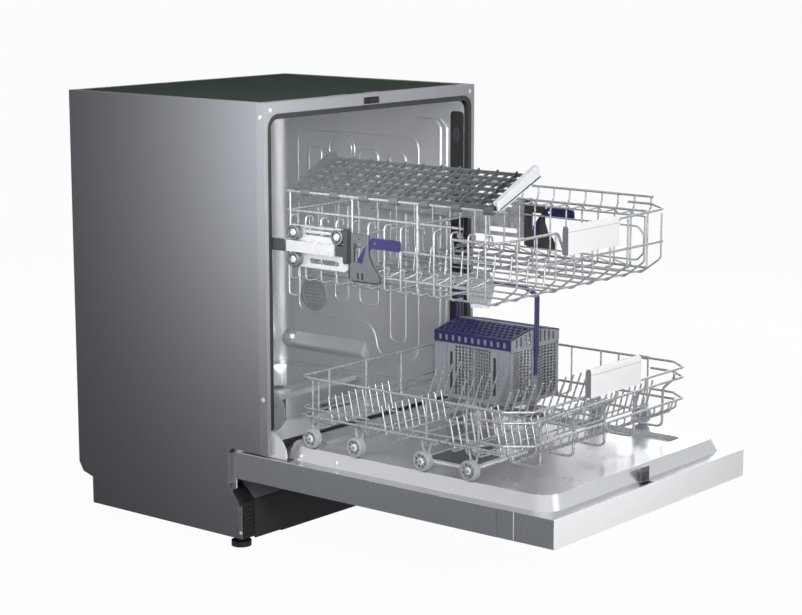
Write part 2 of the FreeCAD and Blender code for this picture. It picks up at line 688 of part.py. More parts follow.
def softener():
    """Salt container with its filling neck through the basin floor."""
    top = BASIN_FLOOR - SHEET - 4
    body = box(SALT_X - SALT_BOX_WIDTH / 2, SALT_X + SALT_BOX_WIDTH / 2, SALT_Y - SALT_BOX_LENGTH / 2,
               SALT_Y + SALT_BOX_LENGTH / 2, BASE_HEIGHT * 0.3, top)
    neck = drum((SALT_X, SALT_Y, top - 5), (SALT_X, SALT_Y, BASIN_FLOOR + 2), SALT_NECK_RADIUS)
    inner = SALT_NECK_RADIUS - 4
    bore = drum((SALT_X, SALT_Y, BASE_HEIGHT * 0.3 + 4), (SALT_X, SALT_Y, BASIN_FLOOR + 3), inner)
    return [fuse([body, neck]).cut(bore)]


def salt_cap():
    """Screw cap on the salt neck with a finger rib."""
    low = BASIN_FLOOR + 2 + CLEARANCE
    disc = drum((SALT_X, SALT_Y, low), (SALT_X, SALT_Y, low + SALT_CAP_HEIGHT), SALT_NECK_RADIUS + 3)
    rib = box(SALT_X - SALT_NECK_RADIUS, SALT_X + SALT_NECK_RADIUS, SALT_Y - 4, SALT_Y + 4, low + 5,
              low + SALT_CAP_HEIGHT + 10)
    plug = drum((SALT_X, SALT_Y, low - 9), (SALT_X, SALT_Y, low + 2), SALT_NECK_RADIUS - 4 - RUNNING)
    return [fuse([disc, rib, plug])]


def wash_pump():
    """Motor, pump housing and pressure stub of the circulation pump."""
    y, z, end = PUMP_Y, PUMP_Z, PUMP_START + PUMP_LENGTH
    middle = PUMP_START + PUMP_LENGTH / 2
    motor = drum((PUMP_START - MOTOR_LENGTH, y, z), (end - 1, y, z), MOTOR_RADIUS)
    housing = drum((PUMP_START, y, z), (end, y, z), PUMP_RADIUS)
    stub = drum((middle, y, z), (middle, y, z + STUB_HEIGHT), STUB_RADIUS)
    return [fuse([motor, housing, stub])]


def drain_pump():
    """Drain pump with its spigot through the back of the base."""
    near = BASE_REAR - DRAIN_SETBACK
    body = drum((DRAIN_X, near - DRAIN_LENGTH, INLET_Z), (DRAIN_X, near, INLET_Z), DRAIN_BODY)
    spigot = drum((DRAIN_X, near - 5, INLET_Z), (DRAIN_X, BASE_REAR + SPOUT_OUT, INLET_Z), DRAIN_RADIUS)
    return [fuse([body, spigot])]


def inlet_valve():
    """Water inlet valve with its threaded nozzle through the back of the base."""
    near, half, rise = BASE_REAR - VALVE_SETBACK, VALVE_WIDTH / 2, VALVE_HEIGHT / 2
    far = near - VALVE_LENGTH
    body = box(INLET_X - half, INLET_X + half, far, near, INLET_Z - rise, INLET_Z + rise)
    coil = drum((INLET_X, far - COIL_LENGTH, INLET_Z), (INLET_X, far + 6, INLET_Z), COIL_RADIUS)
    nozzle = drum((INLET_X, near - 8, INLET_Z), (INLET_X, BASE_REAR + SPOUT_OUT, INLET_Z), INLET_RADIUS)
    return [fuse([body, coil, nozzle])]


def hinge_x():
    """Inner and outer X planes of the hinge bracket and of the hinge arm beside it."""
    bracket = TUB_HALF + SHEET + EMBOSS_DEPTH + CLEARANCE
    arm = bracket + HINGE_PLATE + CLEARANCE
    return bracket, arm


def hinge_slot():
    """Inner and outer X planes of the slot in the door that the hinge plates pass through."""
    bracket, arm = hinge_x()
    return bracket - 2 * CLEARANCE, arm + HINGE_PLATE + 4


def hinge_brackets():
    """Plates in the gap beside the tub, standing on the base, each with the door's pivot pin."""
    x, arm = hinge_x()
    low = PIVOT_Z - 2 * PIVOT_RADIUS
    leg = DOOR_REAR + HINGE_LEG
    outline = [(PIVOT_Y - 10, low), (PIVOT_Y - 10, PIVOT_Z + 12), (PIVOT_Y + 10, PIVOT_Z + 38),
               (leg + 26, PIVOT_Z + 56), (leg + 26, BASE_HEIGHT + TOUCH), (leg, BASE_HEIGHT + TOUCH),
               (leg, low)]
    plate = slab_yz(outline, x, x + HINGE_PLATE)
    pin = drum((x + 1, PIVOT_Y, PIVOT_Z), (arm + HINGE_PLATE + 0.2, PIVOT_Y, PIVOT_Z), PIVOT_RADIUS)
    sole = box(x, INNER_HALF - CLEARANCE, leg, leg + 26, BASE_HEIGHT + TOUCH, BASE_HEIGHT + HINGE_PLATE)
    return both_sides(fuse([plate, pin, sole]))


def hinge_arms():
    """Quarter-round plates on the door that turn on the pivot pins, with a tail into the door."""
    x = hinge_x()[1]
    turns = [math.radians(90 + 10 * step) for step in range(10)]
    reach = HINGE_ARM_RADIUS
    sector = [(PIVOT_Y + reach * math.cos(t), PIVOT_Z + reach * math.sin(t)) for t in turns]
    low = DOOR_UNDER + 12
    outline = sector + [(PIVOT_Y - HINGE_ARM_RADIUS, low), (PIVOT_Y + 12, low), (PIVOT_Y + 12, PIVOT_Z + 12)]
    plate = slab_yz(outline, x, x + HINGE_PLATE)
    bore = drum((x - 1, PIVOT_Y, PIVOT_Z), (x + HINGE_PLATE + 1, PIVOT_Y, PIVOT_Z), PIVOT_RADIUS + RUNNING)
    return both_sides(plate.cut(bore))


def cabinet_screws():
    """Panel screws on both front wings and on the frame's face."""
    screws = []
    y = (FRONT + SEAM_Y) / 2
    for z in (HEIGHT - 25, FRAME_BOTTOM + 101):
        screws += both_sides(drum((HALF + TOUCH, y, z), (HALF + SCREW_HEIGHT, y, z), SCREW_RADIUS))
    x = HALF - FRAME_TOP * 0.75
    z = HEIGHT - FRAME_TOP / 2 - 3
    screws += both_sides(drum((x, FRONT - TOUCH, z), (x, FRONT - SCREW_HEIGHT, z), SCREW_RADIUS))
    return screws


def rail_guides():
    """C-shaped guides on the tub's side walls."""
    outer = TUB_HALF - EMBOSS_DEPTH - TOUCH
    z0, z1 = RAIL_Z - GUIDE_HEIGHT / 2, RAIL_Z + GUIDE_HEIGHT / 2
    y0, y1 = TUB_FRONT + 2, TUB_REAR - TUB_CORNER
    parts = [box(outer - RAIL_WALL, outer, y0, y1, z0, z1),
             box(GUIDE_FACE, outer, y0, y1, z0, z0 + GUIDE_LIP),
             box(GUIDE_FACE, outer, y0, y1, z1 - GUIDE_LIP, z1)]
    return both_sides(fuse(parts))


def upper_rails():
    """Telescopic rails: a tube open to the inside, with a tongue held by the wall guide."""
    y0, y1 = RAIL_FRONT, RAIL_FRONT + RAIL_LENGTH
    tube = box(RAIL_INNER, RAIL_OUTER, y0, y1, RAIL_UNDER, RAIL_TOP)
    groove = box(RAIL_INNER - 1, RAIL_OUTER - 2 * RAIL_WALL, y0 + 6, y1 + 1, RAIL_UNDER + RAIL_WALL,
                 RAIL_TOP - RAIL_WALL)
    reach = GUIDE_DEPTH - EMBOSS_DEPTH - RAIL_WALL - TOUCH
    tongue_half = GUIDE_HEIGHT / 2 - GUIDE_LIP - CLEARANCE - 1
    tongue = box(RAIL_OUTER - 1, RAIL_OUTER + reach, FRONT + 20, y1, RAIL_Z - tongue_half, RAIL_Z + tongue_half)
    return both_sides(fuse([tube.cut(groove), tongue]))


def roller_places():
    """Axle positions of the carriage rollers, in side view."""
    over = RAIL_TOP + ROLLER_RADIUS + 0.5
    under = RAIL_UNDER - ROLLER_RADIUS - 0.5
    return {"rollers_upper_rear": (ROLLER_REAR_Y, over),
            "rollers_upper_front": (ROLLER_REAR_Y - ROLLER_SPACING, over),
            "rollers_lower": (ROLLER_REAR_Y, under)}


def rollers(y, z):
    """Left and right roller on one axle line."""
    x = PLATE_OUTER + 1
    rim = drum((x, y, z), (x + ROLLER_WIDTH, y, z), ROLLER_RADIUS)
    dish = drum((x + ROLLER_WIDTH - 3, y, z), (x + ROLLER_WIDTH + 1, y, z), ROLLER_RADIUS - 3)
    hub = drum((x, y, z), (x + ROLLER_WIDTH, y, z), ROLLER_PIN + 3)
    bore = drum((x - 1, y, z), (x + ROLLER_WIDTH + 1, y, z), ROLLER_PIN + RUNNING)
    return both_sides(fuse([rim.cut(dish), hub]).cut(bore))


def lever_pivot():
    """Height lever's pivot in side view."""
    return BRACKET_FRONT + 18, BRACKET_TOP - 13


def roller_carriage():
    """Roller plates with the axle pins and the height-adjuster brackets."""
    places = list(roller_places().values())
    rear, top = places[0][0] + ROLLER_RADIUS, places[0][1] + 9
    low = places[2][1] - 9
    outline = [(rear, low), (rear, top), (BRACKET_REAR, top), (BRACKET_FRONT, BRACKET_TOP),
               (BRACKET_FRONT, BRACKET_BOTTOM), (BRACKET_REAR, BRACKET_BOTTOM), (BRACKET_REAR, low)]
    plate = slab_yz(outline, PLATE_INNER, PLATE_OUTER)
    pins = [drum((PLATE_INNER, y, z), (PLATE_OUTER + ROLLER_WIDTH + 2, y, z), ROLLER_PIN) for y, z in places]
    body = fuse([plate, box(BRACKET_INNER, PLATE_OUTER, BRACKET_FRONT, BRACKET_REAR, BRACKET_BOTTOM, BRACKET_TOP)]
                + pins)
    slot0 = PLATE_INNER - LEVER_THICK - 2 * CLEARANCE
    pocket = box(slot0, PLATE_INNER, BRACKET_FRONT - 1, BRACKET_REAR - 4, BRACKET_BOTTOM + 5, BRACKET_TOP - 2)
    window = box(slot0, PLATE_OUTER + 1, BRACKET_FRONT + 24, BRACKET_REAR - 16, BRACKET_BOTTOM + 20,
                 BRACKET_TOP - 27)
    y, z = lever_pivot()
    pin = drum((BRACKET_INNER, y, z), (PLATE_OUTER, y, z), LEVER_PIN)
    return both_sides(body.cut(pocket).cut(window).fuse(pin).removeSplitter())


def lift_levers():
    """Left and right height-release levers on one axis, each with a bar and a trigger."""
    y, z = lever_pivot()
    x1 = PLATE_INNER - CLEARANCE
    bar_end = BRACKET_FRONT - LEVER_REACH
    outline = [(y + 9, z + 8), (bar_end, z + 4), (bar_end, z - 9), (y - 6, z - 8), (y + 22, z - 52), (y + 34, z - 50),
               (y + 11, z - 6)]
    lever = slab_yz(outline, x1 - LEVER_THICK, x1)
    bore = drum((x1 - LEVER_THICK - 1, y, z), (x1 + 1, y, z), LEVER_PIN + RUNNING)
    return both_sides(lever.cut(bore))


def wall_mat(start, end, rails, foot_z, head_z, dip=None):
    """Flat upright mat between two plan points: level rails and evenly spaced uprights."""
    (xa, ya), (xb, yb) = start, end
    length = math.hypot(xb - xa, yb - ya)
    parts = []
    for z in rails:
        parts += path([(xa, ya, z), (xb, yb, z)], RAIL_WIRE)
    if dip:
        parts += path([(x, ya, z) for x, z in dip], RAIL_WIRE)
    for share in spread(0, 1, WALL_PITCH / length):
        inset = RAIL_WIRE / length + share * (1 - 2 * RAIL_WIRE / length)
        x, y = xa + (xb - xa) * inset, ya + (yb - ya) * inset
        parts.append(wire((x, y, foot_z), (x, y, head_z), WIRE))
    return fuse(parts)


def floor_mat(x0, x1, y0, y1, z):
    """Flat floor mat: cross wires under lengthwise wires, welded where they meet."""
    parts = [wire((x0, y, z), (x1, y, z), WIRE) for y in spread(y0 - WIRE, y1 + WIRE, 1.6 * FLOOR_PITCH)]
    over = z + 2 * WIRE - WELD
    parts += [wire((x, y0, over), (x, y1, over), WIRE) for x in spread(x0 + WIRE, x1 - WIRE, FLOOR_PITCH)]
    return fuse(parts)


def upper_front_line():
    """Front top wire of the upper rack, dipping under the handle."""
    left = UPPER_HANDLE_X - HANDLE_WIDTH / 2
    right = UPPER_HANDLE_X + HANDLE_WIDTH / 2
    edge = UPPER_HALF - 2 * RAIL_WIRE - CLEARANCE
    low = UPPER_FRONT_TOP - HANDLE_HEIGHT + 12
    return [(-edge, UPPER_FRONT_TOP), (left - 12, UPPER_FRONT_TOP), (left + 8, low), (right - 8, low),
            (right + 12, UPPER_FRONT_TOP), (edge, UPPER_FRONT_TOP)]


def upper_rack():
    """Upper rack wirework: floor, four walls and the round rod that carries the cup shelf."""
    side = UPPER_HALF - RAIL_WIRE
    rear, front = UPPER_REAR - RAIL_WIRE, UPPER_FRONT + RAIL_WIRE
    foot_z = UPPER_FLOOR + MAT_RISE + TOUCH
    edge = UPPER_HALF - 2 * RAIL_WIRE - CLEARANCE
    top = UPPER_RIGHT_RAILS[-1]
    floor = floor_mat(-side, side, UPPER_REAR, UPPER_FRONT, UPPER_FLOOR)
    right = wall_mat((side, UPPER_REAR), (side, UPPER_FRONT), UPPER_RIGHT_RAILS, foot_z, top)
    left = wall_mat((-side, UPPER_REAR), (-side, UPPER_FRONT), (UPPER_LEFT_RAIL,), foot_z, SHELF_Z)
    left = left.fuse(drum((-side, UPPER_REAR, SHELF_Z), (-side, UPPER_FRONT, SHELF_Z), SHELF_ROD))
    back = wall_mat((-edge, rear), (edge, rear), UPPER_RIGHT_RAILS, foot_z, top)
    nose = wall_mat((-edge, front), (edge, front), (UPPER_FRONT_MID,), foot_z,
                    UPPER_FRONT_TOP - HANDLE_HEIGHT + 12, upper_front_line())
    return [floor, right, left, back, nose]


def handle_plate(x, y, top):
    """Plain rack handle: a plate with a rolled top edge."""
    x0, x1 = x - HANDLE_WIDTH / 2, x + HANDLE_WIDTH / 2
    roll = HANDLE_THICK / 2
    plate = box(x0, x1, y - HANDLE_THICK, y - HANDLE_THICK + 3, top - HANDLE_HEIGHT, top - roll)
    lip = drum((x0, y - roll, top - roll), (x1, y - roll, top - roll), roll)
    cheeks = [box(a, b, y - HANDLE_THICK, y, top - HANDLE_HEIGHT, top - roll)
              for a, b in ((x0, x0 + 3), (x1 - 3, x1))]
    return [fuse([plate, lip] + cheeks)]


def cup_shelf():
    """Folding plastic grid with ring clips on the rod and an end plate, tilted up off the rack."""
    side = UPPER_HALF - RAIL_WIRE
    middle = UPPER_REAR - UPPER_LENGTH / 2
    y0, y1 = middle - SHELF_LENGTH / 2, middle + SHELF_LENGTH / 2
    ring = SHELF_ROD + 3.5
    near = ring - 1
    plate = box(near, near + SHELF_WIDTH, y0, y1, 0, SHELF_THICK)
    rib = 4.0
    dx = (SHELF_WIDTH - 2 * rib) / SHELF_ROWS
    dy = (SHELF_LENGTH - 2 * rib) / SHELF_COLUMNS
    holes = [box(near + rib + dx * row + rib / 2, near + rib + dx * (row + 1) - rib / 2,
                 y0 + rib + dy * col + rib / 2, y0 + rib + dy * (col + 1) - rib / 2, -1, SHELF_THICK + 1)
             for row in range(SHELF_ROWS) for col in range(SHELF_COLUMNS)]
    plate = plate.cut(Part.makeCompound(holes))
    ends = [box(near, near + SHELF_WIDTH, y, y + 4, 0, 22) for y in (y0, y1 - 4)]
    uprights = spread(0, 1, WALL_PITCH / UPPER_LENGTH)
    gaps = [UPPER_REAR - UPPER_LENGTH * (a + b) / 2 for a, b in zip(uprights, uprights[1:])]
    chosen = [gaps[round(step * (len(gaps) - 1) / (SHELF_CLIPS - 1))] for step in range(SHELF_CLIPS)]
    clip = WALL_PITCH * 0.42
    clips = [drum((0, y - clip / 2, 0), (0, y + clip / 2, 0), ring) for y in chosen if y0 + clip < y < y1 - clip]
    shelf = fuse([plate] + ends + clips)
    shelf = shelf.cut(drum((0, y0 - 30, 0), (0, y1 + 30, 0), SHELF_ROD + RUNNING))
    shelf.rotate(V(0, 0, 0), V(0, 1, 0), -SHELF_TILT)
    shelf.translate(V(-side, 0, SHELF_Z))
    return [shelf]


def upper_arm_place():
    """Spindle of the upper spray arm, in plan."""
    return 0, UPPER_REAR - UPPER_LENGTH / 2


def upper_spray_arm():
    """Upper spray arm that hangs under the rack."""
    x, y = upper_arm_place()
    top = UPPER_ARM_BOTTOM + UPPER_ARM_THICK
    hub = drum((x, y, UPPER_ARM_BOTTOM), (x, y, top), ARM_HUB_RADIUS)
    arm = fuse([arm_blade(x, y, UPPER_ARM_BOTTOM, UPPER_ARM_RADIUS, UPPER_ARM_THICK), hub])
    arm = arm.cut(drum((x, y, UPPER_ARM_BOTTOM + 3), (x, y, top + 1), SPINDLE_RADIUS + RUNNING))
    arm.rotate(V(x, y, 0), V(0, 0, 1), UPPER_ARM_TURN)
    return [arm]


def spray_manifold():
    """Flat duct under the rack floor from the rear mouth to the upper arm's spindle."""
    x, y = upper_arm_place()
    low = UPPER_ARM_BOTTOM + UPPER_ARM_THICK + 0.6
    duct = box(x - MANIFOLD_WIDTH / 2, x + MANIFOLD_WIDTH / 2, y - MANIFOLD_WIDTH / 2, UPPER_REAR - 1, low,
               low + MANIFOLD_HEIGHT)
    bore = box(x - MANIFOLD_WIDTH / 2 + 2, x + MANIFOLD_WIDTH / 2 - 2, y, UPPER_REAR + 3, low + 2,
               low + MANIFOLD_HEIGHT - 2)
    spindle = drum((x, y, UPPER_ARM_BOTTOM + 3 + CLEARANCE), (x, y, low + 1), SPINDLE_RADIUS)
    return [fuse([duct.cut(bore), spindle])]


def feed_pipe():
    """Water duct up the tub's rear wall, with a mouth at the upper rack's manifold."""
    y1 = TUB_REAR - TOUCH
    mouth = UPPER_ARM_BOTTOM + UPPER_ARM_THICK + MANIFOLD_HEIGHT / 2
    pipe = box(-FEED_WIDTH / 2, FEED_WIDTH / 2, y1 - FEED_DEPTH, y1, TRACK_HEIGHT + TOUCH, mouth + 25)
    inner = MANIFOLD_WIDTH / 2 - 2
    hole = box(-inner, inner, y1 - FEED_DEPTH - 1, y1 - 3, mouth - 3, mouth + 3)
    return [pipe.cut(hole)]


def vent_cover():
    """Round slotted cover of the air break on the right tub wall."""
    x1 = TUB_HALF - TOUCH
    disc = drum((x1 - VENT_THICK, VENT_Y, VENT_Z), (x1, VENT_Y, VENT_Z), VENT_RADIUS)
    slots = [box(x1 - VENT_THICK - 1, x1 + 1, VENT_Y - 0.55 * VENT_RADIUS, VENT_Y + 0.55 * VENT_RADIUS,
                 VENT_Z + level - 1.5, VENT_Z + level + 1.5) for level in (-15, -7.5, 0, 7.5, 15)]
    return [disc.cut(Part.makeCompound(slots))]


def door_panel():
    """Outer door skin folded up along both sides and at the hinge end."""
    top = RIM_UNDER - TOUCH
    y0 = FASCIA_Y + CLEARANCE
    parts = [box(-DOOR_HALF, DOOR_HALF, y0, DOOR_REAR, DOOR_UNDER, DOOR_UNDER + SHEET),
             box(-DOOR_HALF, DOOR_HALF, DOOR_REAR - SHEET, DOOR_REAR, DOOR_UNDER, top)]
    parts += [box(side * (DOOR_HALF - SHEET), side * DOOR_HALF, y0, DOOR_REAR, DOOR_UNDER, top)
              for side in (-1, 1)]
    panel = fuse(parts)
    x0, x1 = hinge_slot()
    for side in (-1, 1):
        panel = panel.cut(box(side * x0, side * x1, DOOR_REAR - 2, DOOR_REAR + 1, DOOR_TOP - 14, DOOR_TOP))
    return [panel]


def pan_block(inset, top, bottom):
    """Tapered block of the liner's raised pan, drawn in by an inset."""
    base = DOOR_HALF - PAN_INSET - inset
    y1 = PIVOT_Y - PAN_START - inset
    y0 = DOOR_FRONT + PAN_END_SPACE + inset
    low = round_rect(-base, base, y0, y1, bottom, PAN_CORNER - inset)
    draft = PAN_TAPER
    high = round_rect(-base + draft, base - draft, y0 + draft, y1 - draft, top, PAN_CORNER - inset)
    return Part.makeLoft([low, high], True, True)


def pan_recess(grow, top):
    """Shallow recess in the middle of the pan, grown by a wall."""
    half = DOOR_HALF - PAN_INSET - PAN_TAPER - PAN_BORDER + grow
    y1 = PIVOT_Y - PAN_START - PAN_TAPER - PAN_BORDER + grow
    y0 = DOOR_FRONT + PAN_END_SPACE + PAN_TAPER + PAN_BORDER - grow
    return round_block(-half, half, y0, y1, PAN_FLOOR - grow, top, PAN_CORNER / 2 + grow)


def dispenser_box(grow, z0, z1):
    """Block on the dispenser's outline, grown all round."""
    return box(DISPENSER_X - DISPENSER_WIDTH / 2 - grow, DISPENSER_X + DISPENSER_WIDTH / 2 + grow,
               DISPENSER_Y - DISPENSER_LENGTH / 2 - grow, DISPENSER_Y + DISPENSER_LENGTH / 2 + grow, z0, z1)


def latch_box(grow, z0, z1):
    """Block on the latch's outline near the free end of the door."""
    y = DOOR_FRONT + 12
    half = LATCH_WIDTH / 2 + grow
    return box(LATCH_X - half, LATCH_X + half, y - 6 - grow, y + 6 + grow, z0, z1)


def door_liner():
    """Inner door sheet: a rim, a raised pan with a recess, and openings for hinge, latch and dispenser."""
    shell = pan_block(0, PAN_TOP, RIM_UNDER).cut(pan_recess(0, PAN_TOP + 5))
    void = pan_block(LINER_SHEET, PAN_TOP - LINER_SHEET, RIM_UNDER - 0.5)
    void = void.cut(pan_recess(LINER_SHEET, PAN_TOP + 5))
    rim = box(-DOOR_HALF, DOOR_HALF, DOOR_FRONT + FASCIA_WALL + CLEARANCE, DOOR_REAR, RIM_UNDER, DOOR_TOP)
    liner = rim.fuse(shell).cut(void)
    x0, x1 = hinge_slot()
    reach = PIVOT_Y - HINGE_ARM_RADIUS - 6
    for side in (-1, 1):
        liner = liner.cut(box(side * x0, side * x1, reach, DOOR_REAR + 1, RIM_UNDER - 1, DOOR_TOP + 1))
    liner = liner.cut(latch_box(1, RIM_UNDER - 1, DOOR_TOP + 1))
    return [liner.cut(dispenser_box(CLEARANCE, PAN_FLOOR - 9, PAN_FLOOR + 1))]


def control_panel():
    """Fascia at the free end of the door, with a finger grip and two button holes."""
    top = RIM_UNDER - TOUCH
    wall = FASCIA_WALL
    parts = [box(-DOOR_HALF, DOOR_HALF, DOOR_FRONT, FASCIA_Y, DOOR_UNDER, DOOR_UNDER + wall),
             box(-DOOR_HALF, DOOR_HALF, DOOR_FRONT, DOOR_FRONT + wall, DOOR_UNDER, DOOR_TOP)]
    parts += [box(side * (DOOR_HALF - wall), side * DOOR_HALF, DOOR_FRONT, FASCIA_Y, DOOR_UNDER, top)
              for side in (-1, 1)]
    y0, y1 = FASCIA_Y - 36, FASCIA_Y - 8
    half = GRIP_WIDTH / 2
    parts.append(box(-half - wall, half + wall, y0 - wall, y1 + wall, DOOR_UNDER, DOOR_UNDER + GRIP_DEPTH + wall))
    panel = fuse(parts).cut(box(-half, half, y0, y1, DOOR_UNDER - 1, DOOR_UNDER + GRIP_DEPTH))
    for side in (-1, 1):
        x, y = button_place(side)
        hole = drum((x, y, DOOR_UNDER - 1), (x, y, DOOR_UNDER + wall + 1), BUTTON_RADIUS + CLEARANCE)
        panel = panel.cut(hole)
    return [panel]


def button_place(side):
    """Middle of a button on the fascia, in plan."""
    return side * (HALF - BUTTON_INSET), DOOR_FRONT + 0.36 * FASCIA


def button(side):
    """Round push button with a stop collar inside the fascia."""
    x, y = button_place(side)
    low = DOOR_UNDER - BUTTON_PROUD
    seat = DOOR_UNDER + FASCIA_WALL + CLEARANCE
    return [fuse([drum((x, y, low), (x, y, seat + 4), BUTTON_RADIUS),
                  drum((x, y, seat), (x, y, seat + 3), BUTTON_RADIUS + 2.5)])]


def door_latch():
    """Latch case under the rim with a hook slot."""
    case = latch_box(0, RIM_UNDER - 20, DOOR_TOP - CLEARANCE)
    slot = latch_box(-4, RIM_UNDER - 10, DOOR_TOP + 1)
    return [case.cut(slot)]


def latch_striker():
    """Striker on the frame's top face that the latch catches."""
    x, z = LATCH_X, HEIGHT - FRAME_TOP / 2 - 2
    back = FRONT - TOUCH
    plate = box(x - STRIKER_WIDTH / 2, x + STRIKER_WIDTH / 2, back - 2, back, z - 6, z + 6)
    hook = box(x - 8, x + 8, back - 9, back - 1, z - 2.5, z + 2.5)
    return [fuse([plate, hook])]


def dispenser_body():
    """Dispenser case with a detergent well and a seat for the rinse-aid cap."""
    case = dispenser_box(0, PAN_FLOOR - DISPENSER_DEPTH, PAN_FLOOR + 0.5)
    flange = dispenser_box(5, PAN_FLOOR + TOUCH, PAN_FLOOR + 2)
    x0, x1, y0, y1 = well_box()
    well = box(x0, x1, y0, y1, PAN_FLOOR - DISPENSER_DEPTH + 3, PAN_FLOOR + 9)
    x, y = rinse_place()
    stem = drum((x, y, PAN_FLOOR - 12), (x, y, PAN_FLOOR + 9), RINSE_RADIUS / 2 + RUNNING)
    return [fuse([case, flange]).cut(well).cut(stem)]


def well_box():
    """Plan corners of the detergent well."""
    x0 = DISPENSER_X - DISPENSER_WIDTH / 2 + 10
    return x0, x0 + 0.48 * DISPENSER_WIDTH, DISPENSER_Y - DISPENSER_LENGTH / 2 + 10, \
        DISPENSER_Y + DISPENSER_LENGTH / 2 - 10


def rinse_place():
    """Middle of the rinse-aid cap, in plan."""
    return DISPENSER_X + DISPENSER_WIDTH / 2 - RINSE_RADIUS - 18, DISPENSER_Y


def dispenser_lid():
    """Sliding lid over the detergent well with a thumb rib."""
    x0, x1, y0, y1 = well_box()
    low = PAN_FLOOR + 2 + CLEARANCE
    plate = box(x0 - 4, x1 + 4, y0 - 4, y1 + 4, low, low + 2.5)
    rib = box(x0 + 10, x1 - 10, y0 + 6, y0 + 10, low + 2, low + 5)
    return [fuse([plate, rib])]


def rinse_cap():
    """Quarter-turn cap of the rinse-aid tank with a grip rib."""
    x, y = rinse_place()
    low = PAN_FLOOR + 2 + CLEARANCE
    disc = drum((x, y, low), (x, y, low + 3), RINSE_RADIUS)
    rib = box(x - RINSE_RADIUS + 2, x + RINSE_RADIUS - 2, y - 2, y + 2, low + 2, low + 5.5)
    stem = drum((x, y, PAN_FLOOR - 11), (x, y, low + 1), RINSE_RADIUS / 2)
    return [fuse([disc, rib, stem])]


def tine_row(y, x0, x1, height, lean, pitch):
    """Row of tines that lean to the front or rear, on a base rod across the rack floor."""
    z = LOWER_FLOOR + MAT_RISE + TOUCH + TINE
    parts = [wire((x0, y, z), (x1, y, z), TINE)]
    parts += [wire((x, y, z), (x, y + lean, z + height), TINE) for x in spread(x0 + TINE, x1 - TINE, pitch)]
    return fuse(parts)


def tine_rows():
    """Short rows on the left that lean to the rear, and tall rows that lean to the front."""
    left, right = -LOWER_HALF + 20, LOWER_HALF - 34
    beside = BASKET_X - BASKET_WIDTH / 2 - 15
    middle = -0.3 * LOWER_HALF
    short = (SHORT_TINE_HEIGHT, SHORT_TINE_LEAN, SHORT_TINE_PITCH)
    tall = (TINE_HEIGHT, -TINE_LEAN, TINE_PITCH)
    rows = [tine_row(LOWER_REAR - step, left, middle - 25 * place, *short) for place, step in
            zip((0, 0, 1.2, 1.2), REAR_ROWS)]
    rows += [tine_row(LOWER_REAR - step, start, stop, *tall) for step, start, stop in
             zip(FRONT_ROWS, (-20, middle + 8, middle - 25), (beside, beside, right))]
    rows.append(tine_row(LOWER_REAR - LAST_ROW, middle + 24, right, SHORT_TINE_HEIGHT, -SHORT_TINE_LEAN,
                         TINE_PITCH))
    return rows


def runner_loops():
    """Wire feet under the front rail: down, back and up to the floor."""
    front = LOWER_FRONT + 3 * RAIL_WIRE + TOUCH
    top = LOWER_FLOOR - WIRE - TOUCH
    loops = []
    for x in LOOP_XS:
        line = [(x, front, LOWER_FRONT_RAILS[0]), (x, front, LOOP_BOTTOM), (x, front + LOOP_REACH, LOOP_BOTTOM),
                (x, front + LOOP_REACH, top)]
        loops.append(fuse(path(line, RAIL_WIRE)))
    return loops


def wheel_bracket(rear_y, front_y):
    """Plastic bracket under the rack with the axle pins of two wheels."""
    x0 = WHEEL_X - WHEEL_WIDTH / 2 - 5
    x1 = x0 + 4
    top = LOWER_FLOOR - WIRE - TOUCH
    outline = [(rear_y + 7, WHEEL_Z - 7), (rear_y + 7, top), (front_y - 7, top), (front_y - 7, WHEEL_Z - 7),
               (front_y + 7, WHEEL_Z - 7), (front_y + 20, top - 8), (rear_y - 20, top - 8), (rear_y - 7, WHEEL_Z - 7)]
    plate = slab_yz(outline, x0, x1)
    pins = [drum((x0, y, WHEEL_Z), (WHEEL_X + WHEEL_WIDTH / 2 + 1, y, WHEEL_Z), WHEEL_PIN)
            for y in (rear_y, front_y)]
    return fuse([plate] + pins)


def lower_rack():
    """Lower rack wirework with chamfered front corners, tine rows and wheel brackets."""
    side = LOWER_HALF - RAIL_WIRE
    front, rear = LOWER_FRONT + RAIL_WIRE, LOWER_REAR - RAIL_WIRE
    turn_y, turn_x = LOWER_FRONT + LOWER_CORNER_Y, LOWER_HALF - LOWER_CORNER_X
    rails = (LOWER_SIDE_RAIL, LOWER_TOP)
    front_rails = LOWER_FRONT_RAILS + (LOWER_TOP,)
    foot_z = LOWER_FLOOR + MAT_RISE + TOUCH
    edge = LOWER_HALF - 2 * RAIL_WIRE - CLEARANCE
    gap = 2 * RAIL_WIRE
    floor = floor_mat(-edge, edge, LOWER_REAR, turn_y, LOWER_FLOOR)
    right = wall_mat((side, LOWER_REAR), (side, turn_y + gap), rails, foot_z, LOWER_TOP)
    back = wall_mat((-edge, rear), (edge, rear), rails, foot_z, LOWER_TOP)
    nose = wall_mat((-turn_x + gap, front), (turn_x - gap, front), front_rails, foot_z, LOWER_TOP)
    corner = wall_mat((side, turn_y), (turn_x, front), front_rails, foot_z, LOWER_TOP)
    lip = floor_mat(-turn_x, turn_x, turn_y - gap, LOWER_FRONT + 2 * gap + CLEARANCE, LOWER_FLOOR)
    brackets = []
    for rear_y, front_y in (WHEEL_YS[:2], WHEEL_YS[2:]):
        brackets += both_sides(wheel_bracket(rear_y, front_y))
    walls = [back, nose] + both_sides(right) + both_sides(corner)
    return [floor, lip] + walls + tine_rows() + runner_loops() + brackets


